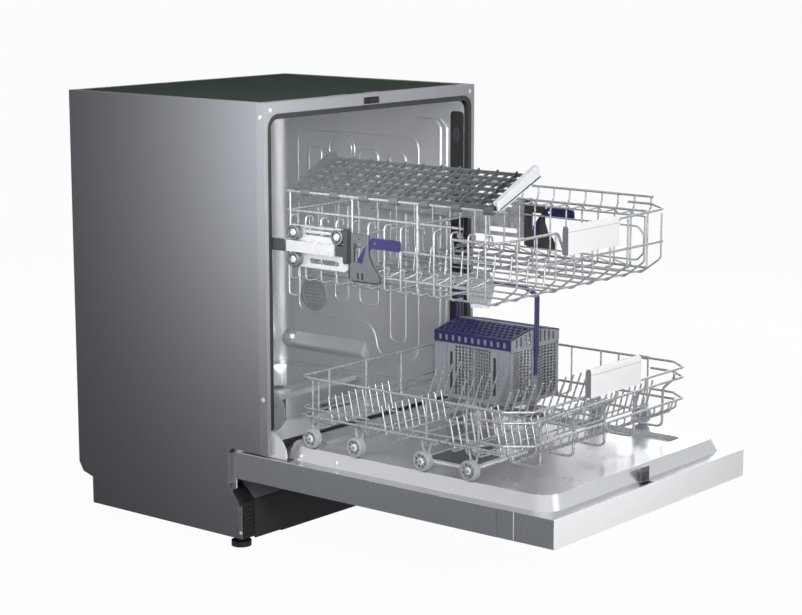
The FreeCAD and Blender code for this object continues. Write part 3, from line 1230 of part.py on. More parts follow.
def wheels(y):
    """Left and right wheel on one axle line, with a dished face."""
    x0, x1 = WHEEL_X - WHEEL_WIDTH / 2, WHEEL_X + WHEEL_WIDTH / 2
    tread = drum((x0, y, WHEEL_Z), (x1, y, WHEEL_Z), WHEEL_RADIUS)
    dish = drum((x1 - 4, y, WHEEL_Z), (x1 + 1, y, WHEEL_Z), WHEEL_RADIUS - 4)
    hub = drum((x0, y, WHEEL_Z), (x1, y, WHEEL_Z), WHEEL_PIN + 3)
    bore = drum((x0 - 1, y, WHEEL_Z), (x1 + 1, y, WHEEL_Z), WHEEL_PIN + RUNNING)
    return both_sides(fuse([tread.cut(dish), hub]).cut(bore))


def cutlery_basket():
    """Slotted basket with gable ends and a cross divider."""
    x0, x1 = BASKET_X - BASKET_WIDTH / 2, BASKET_X + BASKET_WIDTH / 2
    y0, y1 = BASKET_FRONT, BASKET_REAR
    wall = BASKET_WALL
    body = box(x0, x1, y0, y1, BASKET_BOTTOM, BASKET_TOP)
    body = body.cut(box(x0 + wall, x1 - wall, y0 + wall, y1 - wall, BASKET_BOTTOM + wall, BASKET_TOP + 1))
    peak = RIDGE - LID_THICK
    gable = [(x0, BASKET_TOP), (BASKET_X - 6, peak), (BASKET_X + 6, peak), (x1, BASKET_TOP)]
    parts = [body, box(x0, x1, (y0 + y1) / 2 - wall / 2, (y0 + y1) / 2 + wall / 2, BASKET_BOTTOM, BASKET_TOP)]
    parts += [slab_xz(gable, y, y + wall) for y in (y0, y1 - wall)]
    beam = LID_HINGE - LID_THICK
    parts.append(box(BASKET_X - beam, BASKET_X + beam, y0, y1, RIDGE - 2 * LID_THICK, RIDGE))
    basket = fuse(parts + lid_lugs())
    z0, z1 = BASKET_BOTTOM + 12, BASKET_TOP - 26
    pitch_x = BASKET_WIDTH / (BASKET_SLOTS + 1)
    pitch_y = BASKET_LENGTH / (2 * BASKET_SLOTS + 2)
    slots = [box(x0 + pitch_x * (k + 1) - 5, x0 + pitch_x * (k + 1) + 5, y - 5, y + 5, z0, z1)
             for k in range(BASKET_SLOTS) for y in (y0, y1)]
    slots += [box(x - 5, x + 5, y0 + pitch_y * (k + 1) - 4, y0 + pitch_y * (k + 1) + 4, z0, z1)
              for k in range(2 * BASKET_SLOTS + 1) for x in (x0, x1) if k != BASKET_SLOTS]
    return [basket.cut(Part.makeCompound(slots))]


def lid_axis(side):
    """Hinge line of a lid leaf, in front view."""
    return BASKET_X + side * LID_HINGE, RIDGE + CLEARANCE - LID_THICK / 2


def lid_lugs():
    """Ears on the basket's ridge beam with the pins that the lid leaves turn on."""
    parts = []
    for side in (-1, 1):
        x, z = lid_axis(side)
        for y, inward in ((BASKET_FRONT, 1), (BASKET_REAR, -1)):
            ear = y + inward * LID_LUG
            parts.append(drum((x, min(y, ear), z), (x, max(y, ear), z), LID_ROLL - CLEARANCE))
            parts.append(box(x, BASKET_X + side, y, ear, RIDGE - 2 * LID_THICK, z + 1))
            tip = ear + inward * LID_LUG
            parts.append(drum((x, min(y, tip), z), (x, max(y, tip), z), LID_PIN))
    return parts


def basket_lid(side):
    """One leaf of the perforated lid, hinged along the ridge, with a skirt at the eave."""
    reach = BASKET_WIDTH / 2 + LID_OVERHANG
    start = LID_HINGE
    low = BASKET_TOP + CLEARANCE
    high = RIDGE + CLEARANCE
    outer, inner = BASKET_X + side * reach, BASKET_X + side * start
    leaf = slab_xz([(inner, high - LID_THICK), (outer, low), (outer, low + LID_THICK), (inner, high)],
                   BASKET_FRONT, BASKET_REAR)
    skirt = box(outer, outer - side * (LID_OVERHANG - CLEARANCE), BASKET_FRONT, BASKET_REAR, low - LID_SKIRT,
                low + LID_THICK / 2)
    holes = []
    columns = spread(BASKET_FRONT + 14, BASKET_REAR - 14, 23)
    for row in range(3):
        for step, y in enumerate(columns):
            x = BASKET_X + side * (start + (row + 0.75) * (reach - start) / 3.6)
            holes.append(drum((x, y + 4 * (row % 2), low - 5), (x, y + 4 * (row % 2), high + 5), 7.5))
    x, z = lid_axis(side)
    room = LID_LUG + CLEARANCE
    for y, inward in ((BASKET_FRONT, 1), (BASKET_REAR, -1)):
        x0, x1 = x - side * LID_ROLL, x + side * (LID_ROLL + 1.5)
        corner = box(x0, x1, y - inward, y + inward * room, z - 9, z + 9)
        leaf = leaf.cut(corner)
    roll = drum((x, BASKET_FRONT + room, z), (x, BASKET_REAR - room, z), LID_ROLL)
    bore = drum((x, BASKET_FRONT, z), (x, BASKET_REAR, z), LID_PIN + RUNNING)
    return [fuse([leaf, skirt, roll]).cut(Part.makeCompound(holes)).cut(bore)]


def basket_handle():
    """Arched carrying handle along the ridge, rooted on both gable ends."""
    half = BAIL_WIDTH / 2
    foot_z = BASKET_TOP - 40
    top = RIDGE + BAIL_HEIGHT
    y0, y1 = BASKET_FRONT - CLEARANCE, BASKET_REAR + CLEARANCE
    outer = [(y0 - BAIL_THICK, foot_z), (y0 - BAIL_THICK, top - 22), (y0 + 14, top), (y1 - 14, top),
             (y1 + BAIL_THICK, top - 22), (y1 + BAIL_THICK, foot_z), (y1, foot_z), (y1, top - 26),
             (y1 - 18, top - BAIL_THICK), (y0 + 18, top - BAIL_THICK), (y0, top - 26), (y0, foot_z)]
    arch = slab_yz(outer, BASKET_X - half, BASKET_X + half)
    lugs = [box(BASKET_X - half, BASKET_X + half, a, b, foot_z, foot_z + 12)
            for a, b in ((y0 - 1, BASKET_FRONT - TOUCH), (BASKET_REAR + TOUCH, y1 + 1))]
    return [fuse([arch] + lugs)]


def top_cover():
    """Sound-deadening mat under the folded top edges."""
    half = INNER_HALF - CLEARANCE
    z1 = HEIGHT - SHEET - TOUCH
    return [box(-half, half, SEAM_Y + CLEARANCE, REAR - SHEET - CLEARANCE, z1 - TOP_COVER_THICK, z1)]


def rear_panel():
    """Back sheet between the folded rear edges of the side panels."""
    half = INNER_HALF - CLEARANCE
    y1 = REAR - SHEET - TOUCH
    top = HEIGHT - SHEET - TOP_COVER_THICK - 2 * TOUCH
    return [box(-half, half, y1 - SHEET, y1, REAR_NOTCH_TOP + 2, top)]


def tub_rear_wall():
    """Back wall of the tub, drawn forward to the side walls in two round corners."""
    half, y = TUB_HALF - TUB_CORNER, TUB_REAR - TUB_CORNER
    tall = TUB_TOP - TRACK_HEIGHT
    flat = box(-half, half, TUB_REAR, TUB_REAR + SHEET, TRACK_HEIGHT, TUB_TOP)
    at = V(half, y, TRACK_HEIGHT)
    bend = Part.makeCylinder(TUB_CORNER + SHEET, tall, at, V(0, 0, 1), 90)
    bend = bend.cut(Part.makeCylinder(TUB_CORNER, tall, at, V(0, 0, 1), 90))
    return [fuse([flat] + both_sides(bend))]


def assembly():
    """Every node of the dishwasher with its solids."""
    panel = side_panel()
    nodes = {
        "side_panel_right": [panel], "side_panel_left": [mirrored(panel)], "top_cover": top_cover(),
        "rear_panel": rear_panel(), "front_frame": front_frame(), "tub_gasket": gasket(), "tub_wrap": tub_wrap(),
        "tub_rear_wall": tub_rear_wall(), "tub_floor": tub_floor(), "base_tray": base_tray(),
        "kick_plate": kick_plate(), "sump": sump(), "flat_filter": flat_filter(), "filter_cup": filter_cup(),
        "lower_spray_arm": lower_spray_arm(), "water_softener": softener(), "salt_cap": salt_cap(),
        "wash_pump": wash_pump(), "drain_pump": drain_pump(), "inlet_valve": inlet_valve(),
        "hinge_brackets": hinge_brackets(), "cabinet_screws": cabinet_screws(), "rail_guides": rail_guides(),
        "upper_rails": upper_rails(), "vent_cover": vent_cover(), "feed_pipe": feed_pipe(),
        "latch_striker": latch_striker(), "door_outer_panel": door_panel(), "door_liner": door_liner(),
        "control_panel": control_panel(), "power_button": button(-1), "start_button": button(1),
        "door_latch": door_latch(), "dispenser_body": dispenser_body(), "dispenser_lid": dispenser_lid(),
        "rinse_cap": rinse_cap(), "hinge_arms": hinge_arms(), "roller_carriage": roller_carriage(),
        "lift_levers": lift_levers(), "upper_rack": upper_rack(),
        "upper_rack_handle": handle_plate(UPPER_HANDLE_X, UPPER_FRONT - TOUCH, UPPER_FRONT_TOP + 12),
        "cup_shelf": cup_shelf(), "upper_spray_arm": upper_spray_arm(), "spray_manifold": spray_manifold(),
        "lower_rack": lower_rack(),
        "lower_rack_handle": handle_plate(LOWER_HANDLE_X, LOWER_FRONT - TOUCH, LOWER_TOP + HANDLE_HEIGHT),
        "cutlery_basket": cutlery_basket(), "basket_lid_left": basket_lid(-1), "basket_lid_right": basket_lid(1),
        "basket_handle": basket_handle(),
    }
    for name, (x, y) in foot_places().items():
        nodes[name] = foot(x, y)
    for name, (y, z) in roller_places().items():
        nodes[name] = rollers(y, z)
    for place, y in enumerate(WHEEL_YS, 1):
        nodes["lower_wheels_%d" % place] = wheels(y)
    return nodes


os.makedirs("parts", exist_ok=True)
for node, solids in assembly().items():
    save(node, solids)
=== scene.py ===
"""Looks of an undercounter dishwasher with its door down and both racks drawn out.

Every length in this file is in millimetres until it reaches a mesh, where it becomes metres.
"""
import math
import bpy
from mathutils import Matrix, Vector
from mathutils.geometry import delaunay_2d_cdt

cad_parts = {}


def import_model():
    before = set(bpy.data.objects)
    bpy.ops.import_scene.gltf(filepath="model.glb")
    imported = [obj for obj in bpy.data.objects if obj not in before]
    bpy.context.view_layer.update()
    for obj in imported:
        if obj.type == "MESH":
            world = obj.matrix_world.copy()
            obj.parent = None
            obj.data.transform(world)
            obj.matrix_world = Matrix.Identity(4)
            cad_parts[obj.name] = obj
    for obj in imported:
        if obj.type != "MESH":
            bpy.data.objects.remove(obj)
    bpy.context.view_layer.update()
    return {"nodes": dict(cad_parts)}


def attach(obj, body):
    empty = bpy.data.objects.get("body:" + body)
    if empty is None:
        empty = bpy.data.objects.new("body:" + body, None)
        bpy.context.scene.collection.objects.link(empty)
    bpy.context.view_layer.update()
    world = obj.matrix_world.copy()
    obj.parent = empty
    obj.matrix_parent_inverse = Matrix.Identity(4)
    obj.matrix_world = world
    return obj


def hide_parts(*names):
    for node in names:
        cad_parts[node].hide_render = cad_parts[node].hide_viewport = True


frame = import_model()
MM = 0.001
SIDES = (-1, 1)


# Materials

def linear(rgb):
    """Screen colour, 0 to 255, as scene light."""
    shares = [value / 255 for value in rgb]
    return [c / 12.92 if c <= 0.04045 else ((c + 0.055) / 1.055) ** 2.4 for c in shares]


def node(tree, kind, values=None, links=None, **settings):
    """New shader node with its settings, its input values and the outputs that feed its inputs."""
    new = tree.nodes.new("ShaderNode" + kind)
    for key, value in settings.items():
        setattr(new, key, value)
    for socket, value in (values or {}).items():
        new.inputs[socket].default_value = value
    for socket, source in (links or {}).items():
        tree.links.new(source, new.inputs[socket])
    return new


def noise(tree, scale, stretch, detail=3.0):
    """Noise in the object's own frame, drawn out along its axes."""
    place = node(tree, "TexCoord").outputs["Object"]
    sizes = node(tree, "Mapping", {"Scale": stretch}, {"Vector": place}).outputs["Vector"]
    return node(tree, "TexNoise", {"Scale": scale, "Detail": detail}, {"Vector": sizes}).outputs["Fac"]


def spread_to(tree, source, low, high):
    """A noise value drawn out between two numbers."""
    ends = {"From Min": 0.3, "From Max": 0.7, "To Min": low, "To Max": high}
    return node(tree, "MapRange", ends, {"Value": source}).outputs["Result"]


def finish(name, rgb, rough, metal=0.0, grain=(1, 1, 1), scale=300.0, tone=0.1, wear=0.08, bump=0.15,
           depth=0.1, spec=0.5):
    """Surface with a grain that shifts its colour, its roughness and its relief."""
    mat = bpy.data.materials.new(name)
    mat.use_nodes = True
    tree = mat.node_tree
    shader = tree.nodes["Principled BSDF"].inputs
    shader["Metallic"].default_value = metal
    shader["Specular IOR Level"].default_value = spec
    fine, broad = noise(tree, scale, grain), noise(tree, 7.0, (1, 1, 1), 2.0)
    base = linear(rgb)
    shades = {6: [c * (1 - tone) for c in base] + [1], 7: [min(1, c * (1 + tone)) for c in base] + [1]}
    colour = node(tree, "Mix", shades, {0: spread_to(tree, fine, 0, 1)}, data_type="RGBA")
    worn = node(tree, "Math", None, {0: spread_to(tree, fine, rough - wear, rough + wear),
                                     1: spread_to(tree, broad, -wear / 2, wear / 2)}, operation="ADD")
    relief = node(tree, "Bump", {"Strength": bump, "Distance": depth * MM}, {"Height": fine})
    tree.links.new(colour.outputs[2], shader["Base Color"])
    tree.links.new(worn.outputs[0], shader["Roughness"])
    tree.links.new(relief.outputs["Normal"], shader["Normal"])
    return mat


UPRIGHT, SIDEWAYS = (60, 60, 1.2), (1.2, 60, 60)
MAT = {
    "panel": finish("panel_grey", (106, 108, 112), 0.6, 0.0, UPRIGHT, 30, 0.04, 0.03, 0.03, spec=0.06),
    "mat": finish("bitumen_mat", (40, 50, 44), 0.95, scale=420, tone=0.35, bump=0.8, depth=0.5, spec=0.02),
    "frame": finish("frame_steel", (130, 132, 136), 0.4, 0.35, UPRIGHT, 30, 0.03, 0.04, 0.03, spec=0.3),
    "wing": finish("wing_steel", (114, 116, 120), 0.5, 0.1, UPRIGHT, 30, 0.03, 0.04, 0.03, spec=0.1),
    "tub": finish("tub_steel", (196, 198, 201), 0.3, 0.6, scale=30, tone=0.01, wear=0.015, bump=0.0),
    "liner": finish("liner_steel", (190, 192, 196), 0.26, 0.75, scale=30, tone=0.01, wear=0.015, bump=0.0),
    "door": finish("door_steel", (112, 115, 119), 0.45, 0.4, UPRIGHT, 26, 0.12, 0.07, 0.08, spec=0.3),
    "fascia": finish("fascia_steel", (222, 224, 226), 0.45, 0.2, SIDEWAYS, 26, 0.03, 0.05, 0.05, spec=0.3),
    "seal": finish("seal_rubber", (22, 22, 23), 0.6, scale=260, tone=0.2, bump=0.3),
    "black": finish("black_plastic", (20, 20, 21), 0.6, scale=320, tone=0.15, bump=0.3, spec=0.25),
    "kick": finish("toe_plastic", (48, 49, 51), 0.7, scale=320, tone=0.12, bump=0.2, spec=0.15),
    "dark": finish("dark_plastic", (48, 50, 53), 0.5, scale=320, tone=0.12, bump=0.25, spec=0.3),
    "wire": finish("coated_wire", (150, 153, 157), 0.3, 0.5, scale=240, tone=0.05, bump=0.1),
    "white": finish("handle_plastic", (206, 207, 209), 0.38, tone=0.02, bump=0.06, spec=0.3),
    # Handle cheeks: the handle's white plastic painted grey as shade, for the ends that face away from the
    # light.
    "cheek": finish("handle_cheek_painted_shade", (112, 115, 120), 0.45, tone=0.05, bump=0.1, spec=0.25),
    "light": finish("light_plastic", (200, 203, 206), 0.42, tone=0.04, bump=0.12, spec=0.3),
    "pale": finish("pale_grey_plastic", (108, 111, 117), 0.5, tone=0.05, bump=0.12, spec=0.2),
    "grey": finish("mid_plastic", (74, 78, 81), 0.4, tone=0.07, bump=0.18, spec=0.4),
    "basket": finish("basket_plastic", (122, 125, 130), 0.45, tone=0.06, bump=0.18, spec=0.3),
    "purple": finish("purple_plastic", (38, 37, 76), 0.36, scale=280, tone=0.08, bump=0.12, spec=0.3),
    "roller": finish("roller_plastic", (74, 77, 80), 0.45, tone=0.1, bump=0.2),
    "wheel": finish("wheel_plastic", (140, 143, 147), 0.42, tone=0.06, bump=0.16),
    "zinc": finish("bright_zinc", (198, 200, 203), 0.3, 0.7, scale=60, tone=0.02, wear=0.04, bump=0.02),
    "clear": finish("arm_plastic", (160, 164, 168), 0.38, scale=280, tone=0.05, bump=0.12),
    "pump": finish("pump_plastic", (88, 91, 95), 0.5, scale=280, tone=0.1, bump=0.25),
}


# Mesh building

BOX_FACES = [(0, 2, 3, 1), (4, 5, 7, 6), (0, 1, 5, 4), (2, 6, 7, 3), (0, 4, 6, 2), (1, 3, 7, 5)]


class Shape:
    """Faces gathered into one mesh, in millimetres."""

    def __init__(self):
        self.points, self.faces, self.paints = [], [], []

    def add(self, points, faces, paint=0):
        start = len(self.points)
        self.points += [tuple(p) for p in points]
        self.faces += [[start + k for k in face] for face in faces]
        self.paints += [paint] * len(faces)

    def box(self, x0, x1, y0, y1, z0, z1, paint=0):
        xs, ys, zs = sorted((x0, x1)), sorted((y0, y1)), sorted((z0, z1))
        self.add([(x, y, z) for z in zs for y in ys for x in xs], BOX_FACES, paint)

    def pair(self, x0, x1, *rest):
        """The same box on the left and on the right."""
        for side in SIDES:
            self.box(side * x0, side * x1, *rest)

    def skin(self, rings, paint=0, closed=False):
        """Surface over a row of rings of points, with end faces or closed on itself."""
        rows, width = len(rings), len(rings[0])
        faces = bands(rows, width, closed=closed)
        if not closed:
            faces += [tuple(reversed(range(width))), tuple((rows - 1) * width + s for s in range(width))]
        self.add([p for ring in rings for p in ring], faces, paint)

    def tube(self, points, radius, sides=10, closed=False):
        """Round bar along a line of points, or round a closed ring of them."""
        line = [Vector(p) for p in points]
        steps = [(b - a).normalized() for a, b in zip(line, line[1:] + line[:1] if closed else line[1:])]
        rings, across = [], None
        for k, here in enumerate(line):
            before, after = steps[k - 1 if k or closed else 0], steps[min(k, len(steps) - 1)]
            way = (before + after if (before + after).length > 1e-6 else after).normalized()
            across = across or way.orthogonal().normalized()
            across = (across - way * across.dot(way)).normalized()
            rings.append(hoop(here, across, way.cross(across), radius, sides))
        self.skin(rings, closed=closed)

    def bent(self, points, radius, bend, sides=10):
        """Round bar with its corners bent to a radius."""
        self.tube(rounded(points, bend), radius, sides)

    def lathe(self, start, axis, profile, sides=40, paint=0, closed=False):
        """Turned form: (height, radius) pairs along an axis, with end faces or closed into a ring."""
        way = Vector(axis).normalized()
        across = way.orthogonal().normalized()
        other = way.cross(across)
        rings = [hoop(Vector(start) + way * h, across, other, radius, sides) for h, radius in profile]
        self.skin(rings, paint, closed)

    def plate(self, outline, holes, place, low, high, paint=0):
        """Sheet with holes: outlines in two dimensions, put in space by place(u, v, w)."""
        loops = [outline] + holes
        flat = [Vector(p) for loop in loops for p in loop]
        edges, count = [], len(flat)
        for loop in loops:
            ids = list(range(len(edges), len(edges) + len(loop)))
            edges += zip(ids, ids[1:] + ids[:1])
        found, _, faces, origin, _, _ = delaunay_2d_cdt(flat, edges, [], 0, 1e-6)
        kept = [f for f in faces if inside(sum((found[k] for k in f), Vector((0, 0))) / len(f), loops)]
        caps = [[origin[k][0] for k in f] for f in kept]
        sides = [f[::-1] for f in caps] + [[k + count for k in f] for f in caps]
        sides += [(a, b, b + count, a + count) for a, b in edges]
        self.add([place(p.x, p.y, w) for w in (low, high) for p in flat], sides, paint)

    def sheets(self, outline, holes, x0, x1):
        """The same upright sheet on the left and on the right."""
        for side in SIDES:
            self.plate(outline, holes, flat_yz, side * x0, side * x1)

    def piece(self, name, body, slot, paints, replaces=(), bevel=0.0, smooth=40.0, segments=2):
        """The finished object, riding on a body."""
        mesh = bpy.data.meshes.new(name)
        mesh.from_pydata([Vector(p) * MM for p in self.points], [], self.faces)
        for paint in paints:
            mesh.materials.append(MAT[paint])
        for face, paint in zip(mesh.polygons, self.paints):
            face.material_index = paint
        mesh.validate()
        obj = put(name, mesh)
        soften(obj, bevel, smooth, segments)
        mesh.shade_smooth()
        mesh.set_sharp_from_angle(angle=math.radians(smooth))
        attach(obj, body)
        if replaces:
            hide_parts(*replaces)


def bands(rows, width, around=True, closed=False):
    """Quads between rows of points: around joins the ends of each row, closed the last row and the first."""
    faces = []
    for k in range(rows if closed else rows - 1):
        a, b = k * width, (k + 1) % rows * width
        for s in range(width if around else width - 1):
            n = (s + 1) % width
            faces.append((a + s, a + n, b + n, b + s))
    return faces


def hoop(centre, across, other, radius, sides):
    """Ring of points round a centre."""
    turns = [2 * math.pi * s / sides for s in range(sides)]
    return [centre + (across * math.cos(t) + other * math.sin(t)) * radius for t in turns]


def put(name, data):
    """New object in the scene."""
    obj = bpy.data.objects.new(name, data)
    bpy.context.scene.collection.objects.link(obj)
    return obj


def soften(obj, bevel, angle=40.0, segments=2):
    """Rounded edges on a piece."""
    if bevel:
        edge = obj.modifiers.new("edges", "BEVEL")
        edge.width = bevel * MM
        edge.segments = segments
        edge.limit_method = "ANGLE"
        edge.angle_limit = math.radians(angle)


def inside(point, loops):
    """True where a flat point lies in the outline and in no hole."""
    crossings = 0
    for loop in loops:
        for a, b in zip(loop, loop[1:] + loop[:1]):
            if (a[1] > point.y) != (b[1] > point.y):
                if point.x < (b[0] - a[0]) * (point.y - a[1]) / (b[1] - a[1]) + a[0]:
                    crossings += 1
    return crossings % 2 == 1


def rounded(points, bend, closed=False, steps=4):
    """A line of points with each corner turned into an arc."""
    line = [Vector(p) for p in points]
    count = len(line)
    out = []
    for k, here in enumerate(line):
        one, two = line[k - 1] - here, line[(k + 1) % count] - here
        angle = one.angle(two, math.pi)
        if angle > math.radians(175) or not closed and k in (0, count - 1):
            out.append(here)
            continue
        reach = min(bend / math.tan(angle / 2), one.length * 0.48, two.length * 0.48)
        a, b = here + one.normalized() * reach, here + two.normalized() * reach
        for step in range(steps + 1):
            t = step / steps
            out.append(a * (1 - t) ** 2 + here * (2 * t * (1 - t)) + b * t ** 2)
    return out


def arc(x, y, radius, start, turn, steps):
    """Flat points on an arc that begins at an angle and runs through a turn, in degrees."""
    angles = [math.radians(start + turn * k / steps) for k in range(steps + 1)]
    return [(x + radius * math.cos(t), y + radius * math.sin(t)) for t in angles]


def rect(x0, x1, y0, y1):
    """Flat outline of a rectangle."""
    return [(x0, y0), (x1, y0), (x1, y1), (x0, y1)]


def round_loop(x0, x1, y0, y1, radius, steps=6):
    """Flat outline of a rectangle with round corners."""
    left, right, low, high = x0 + radius, x1 - radius, y0 + radius, y1 - radius
    corners = ((right, high, 0), (left, high, 90), (left, low, 180), (right, low, 270))
    return [p for x, y, start in corners for p in arc(x, y, radius, start, 90, steps)]


def circle_loop(x, y, radius, sides=24):
    """Flat outline of a circle."""
    return arc(x, y, radius, 0, 360, sides)[:-1]


def arch(x, top, radius, bottom):
    """Flat line up the left, round two corners and down the right."""
    left, right = (arc(centre, top - radius, radius, start, -90, 8)
                   for centre, start in ((-x + radius, 180), (x - radius, 90)))
    return [(-x, bottom)] + left + right + [(x, bottom)]


def flat_xy(u, v, w):
    return Vector((u, v, w))


def flat_yz(u, v, w):
    return Vector((w, u, v))


def flat_xz(u, v, w):
    return Vector((u, w, v))


def share(first, last, count):
    """Even positions from first to last."""
    return [first + (last - first) * k / (count - 1) for k in range(count)]


def dress(paint, bevel, names):
    """Carry CAD nodes over with a finish and eased edges."""
    for name in names.split():
        obj = frame["nodes"][name]
        if not obj.material_slots:
            obj.data.materials.append(MAT[paint])
        for place in obj.material_slots:
            place.material = MAT[paint]
        weld = obj.modifiers.new("join", "WELD")
        weld.merge_threshold = 0.00001
        soften(obj, bevel)


for carried in (
        ("panel", 0.25, "side_panel_left side_panel_right rear_panel"),
        ("mat", 0.4, "top_cover"),
        ("tub", 0.4, "tub_floor flat_filter"),
        ("black", 0.6, "base_tray front_foot_left front_foot_right rear_foot latch_striker door_latch"),
        ("kick", 0.6, "kick_plate"),
        ("pump", 0.6, "sump wash_pump drain_pump"),
        ("light", 0.5, "inlet_valve water_softener feed_pipe power_button start_button dispenser_body"),
        ("grey", 0.5, "filter_cup salt_cap dispenser_lid rinse_cap"),
        ("clear", 1.5, "lower_spray_arm upper_spray_arm spray_manifold"),
        ("zinc", 0.25, "hinge_brackets hinge_arms rail_guides upper_rails cabinet_screws"),
        ("door", 0.3, "door_outer_panel"),
        ("fascia", 0.5, "control_panel"),
        ("liner", 0.5, "door_liner")):
    dress(*carried)


# Tub and frame

HALF, FRONT, HEIGHT = 299.0, -249.0, 815.0
TUB_HALF, TUB_TOP, TUB_FRONT, TUB_REAR, TRACK = 281.0, 785.0, -238.0, 243.0, 209.0
CORNER, EAVE, WING_REAR = 38.0, 22.0, -229.0
CHEEK_IN, CHEEK_OUT = 279.4, 281.2


def tub_plan(inset):
    """Plan line of the tub wall, from the left front round the back to the right front."""
    return arch(TUB_HALF - inset, TUB_REAR - inset, max(2.0, CORNER - inset), TUB_FRONT)


def tub_shell():
    """Walls and ceiling pressed from one sheet, with round corners and eaves."""
    shape = Shape()
    spring = TUB_TOP - EAVE
    levels = [(0, TRACK + 0.2)] + arc(EAVE, spring, EAVE, 180, -90, 6)
    count, last = len(tub_plan(0)), len(levels)
    for skin in (0, -1.0):
        rows = [[(x, y, z - skin * (z > spring)) for x, y in tub_plan(inset + skin)] for inset, z in levels]
        faces = bands(last, count, around=False) + [tuple((last - 1) * count + s for s in range(count))]
        shape.add([p for row in rows for p in row], faces if skin else [face[::-1] for face in faces])
    foot = range(count)
    mouth = [k * count for k in range(last)] + [k * count + count - 1 for k in reversed(range(last))]
    rim = list(zip(foot, foot[1:])) + list(zip(mouth[1:], mouth))
    total = count * last
    shape.faces += [[a, b, b + total, a + total] for a, b in rim]
    shape.paints += [0] * len(rim)
    shape.piece("tub_shell", "cabinet", "tub_steel", ["tub"], ("tub_wrap", "tub_rear_wall"), smooth=50)


FIELD = [(-125, 703), (197, 703), (197, 318), (14, 318), (-10, 300), (-22, 252), (-125, 252)]
PADS = [(-93, -53, 285, 670), (-21, 28, 353, 671), (60, 95, 353, 624), (131, 165, 408, 669)]
ROUND_FIELD = (76, 668, 34)


def wall_stampings():
    """Field, upright pads, round bead and rack ledge pressed inwards on both side walls."""
    for side, label in ((1, "right"), (-1, "left")):
        shape = Shape()
        wall = side * TUB_HALF
        outer, inner = wall + side * 0.2, wall - side * 13
        beads = [rounded([(wall, y, z) for y, z in FIELD], 26, True, 6)]
        y, z, radius = ROUND_FIELD
        beads.append([(wall, a, b) for a, b in circle_loop(y, z, radius, 36)])
        for y0, y1, z0, z1 in PADS:
            pad = round_loop(y0, y1, z0, z1, 14)
            shape.plate(pad, [], flat_yz, outer, wall - side * 2.0)
            beads.append([(wall - side * 1.4, a, b) for a, b in pad])
        shape.plate(circle_loop(y, z, radius - 7, 36), [], flat_yz, outer, wall - side * 1.6)
        for bead in beads:
            shape.tube(bead, 2.0, 8, closed=True)
        for y in (-196, -180):
            shape.bent([(wall, y, 250), (wall, y, 728), (wall, y + 16, 744), (wall, y + 60, 744)], 3.0, 10)
        shape.plate([(outer, 275), (inner, 253), (inner, 247), (outer, 237)], [], flat_xz, 14, 205)
        knob = [(0, 19), (6, 18), (11, 14), (14, 8), (15, 2)]
        shape.lathe((wall - side, 221, 258), (-side, -0.7, 0), knob, 28)
        shape.piece("wall_stamping_" + label, "cabinet", "tub_steel", ["tub"], bevel=0.9, smooth=60)


def wall_fittings():
    """Oval clip on the right wall, dark sleeves beside the rails that are painted shade and painted reflection,
    half-round plates beside the opening.
    """
    clip = Shape()
    clip.plate([(-221 + 8 * math.cos(t), 716 + 15 * math.sin(t)) for t in share(0, 2 * math.pi, 29)[:-1]],
               [], flat_yz, TUB_HALF + 0.2, TUB_HALF - 3)
    # Dark sleeves outside the rails' front ends: painted shade and painted reflection of the dark interior.
    near, far, rear = 275.1, 276.2, -231.5
    clip.sheets(round_loop(-274, rear, 557.5, 579, 2), [], near, far)
    clip.pair(near, far, -236, rear, 555.5, 581)
    clip.piece("wall_clip_and_painted_shade_sleeves", "cabinet", "black_plastic", ["dark"], bevel=0.5)
    cheeks = Shape()
    outline = arc(TUB_FRONT, 267, 36, 90, 180, 16)
    outline += [(WING_REAR, 231), (WING_REAR, 262), (-233, 267), (WING_REAR, 272), (WING_REAR, 303)]
    holes = [circle_loop(-252, 278, 3, 12), circle_loop(-247, 252, 2.2, 12)]
    cheeks.sheets(outline, holes, CHEEK_IN, CHEEK_OUT)
    cheeks.piece("opening_cheeks", "cabinet", "mid_grey_plastic", ["pale"], bevel=0.4)


def vent():
    """Round slotted cover on the right wall."""
    shape = Shape()
    x, y, z = TUB_HALF, 153.0, 360.0
    rim = [(0, 35), (3.0, 35), (3.5, 33.5), (3.5, 30.5), (2.0, 29.5), (0, 29.5)]
    shape.lathe((x, y, z), (-1, 0, 0), rim, 48, closed=True)
    gaps = [round_loop(y - w, y + w, z + h - 1.8, z + h + 1.8, 1.7, 3)
            for h, w in ((-18, 14), (-11, 19), (-4, 21), (4, 21), (11, 19), (18, 14))]
    shape.plate(circle_loop(y, z, 30, 40), gaps, flat_yz, x - 0.2, x - 2.2)
    shape.lathe((x - 2.0, y, z), (-1, 0, 0), [(0, 5), (1.4, 4.4)], 20)
    shape.box(x - 2.4, x - 3.6, y - 2.2, y + 2.2, z - 29, z + 29)
    shape.piece("vent_rose", "cabinet", "light_grey_plastic", ["wheel"], ("vent_cover",), bevel=0.3)


def front_frame():
    """Bright frame sheet with a round-cornered opening, side wings and a top wing."""
    shape = Shape()
    foot, wing = 190, 298
    outline = [(-HALF, foot), (-HALF, HEIGHT), (HALF, HEIGHT), (HALF, foot)] + arch(291, 795, 26, foot)[::-1]
    shape.plate(outline, [], flat_xz, FRONT, FRONT + 1)
    shape.pair(wing, HALF, FRONT + 1, WING_REAR, foot, HEIGHT, 1)
    holes = [circle_loop(side * 200, -239, 2.5) for side in SIDES]
    shape.plate(rect(-wing, wing, FRONT + 1, WING_REAR), holes, flat_xy, HEIGHT - 1, HEIGHT, 1)
    for x0, x1 in ((-102, -63), (-8, 31)):
        shape.box(x0, x1, -238, -227.5, 814.2, HEIGHT + 0.6, 1)
    shape.piece("front_frame_sheet", "cabinet", "frame_steel", ["frame", "wing"], ("front_frame",), bevel=0.35)


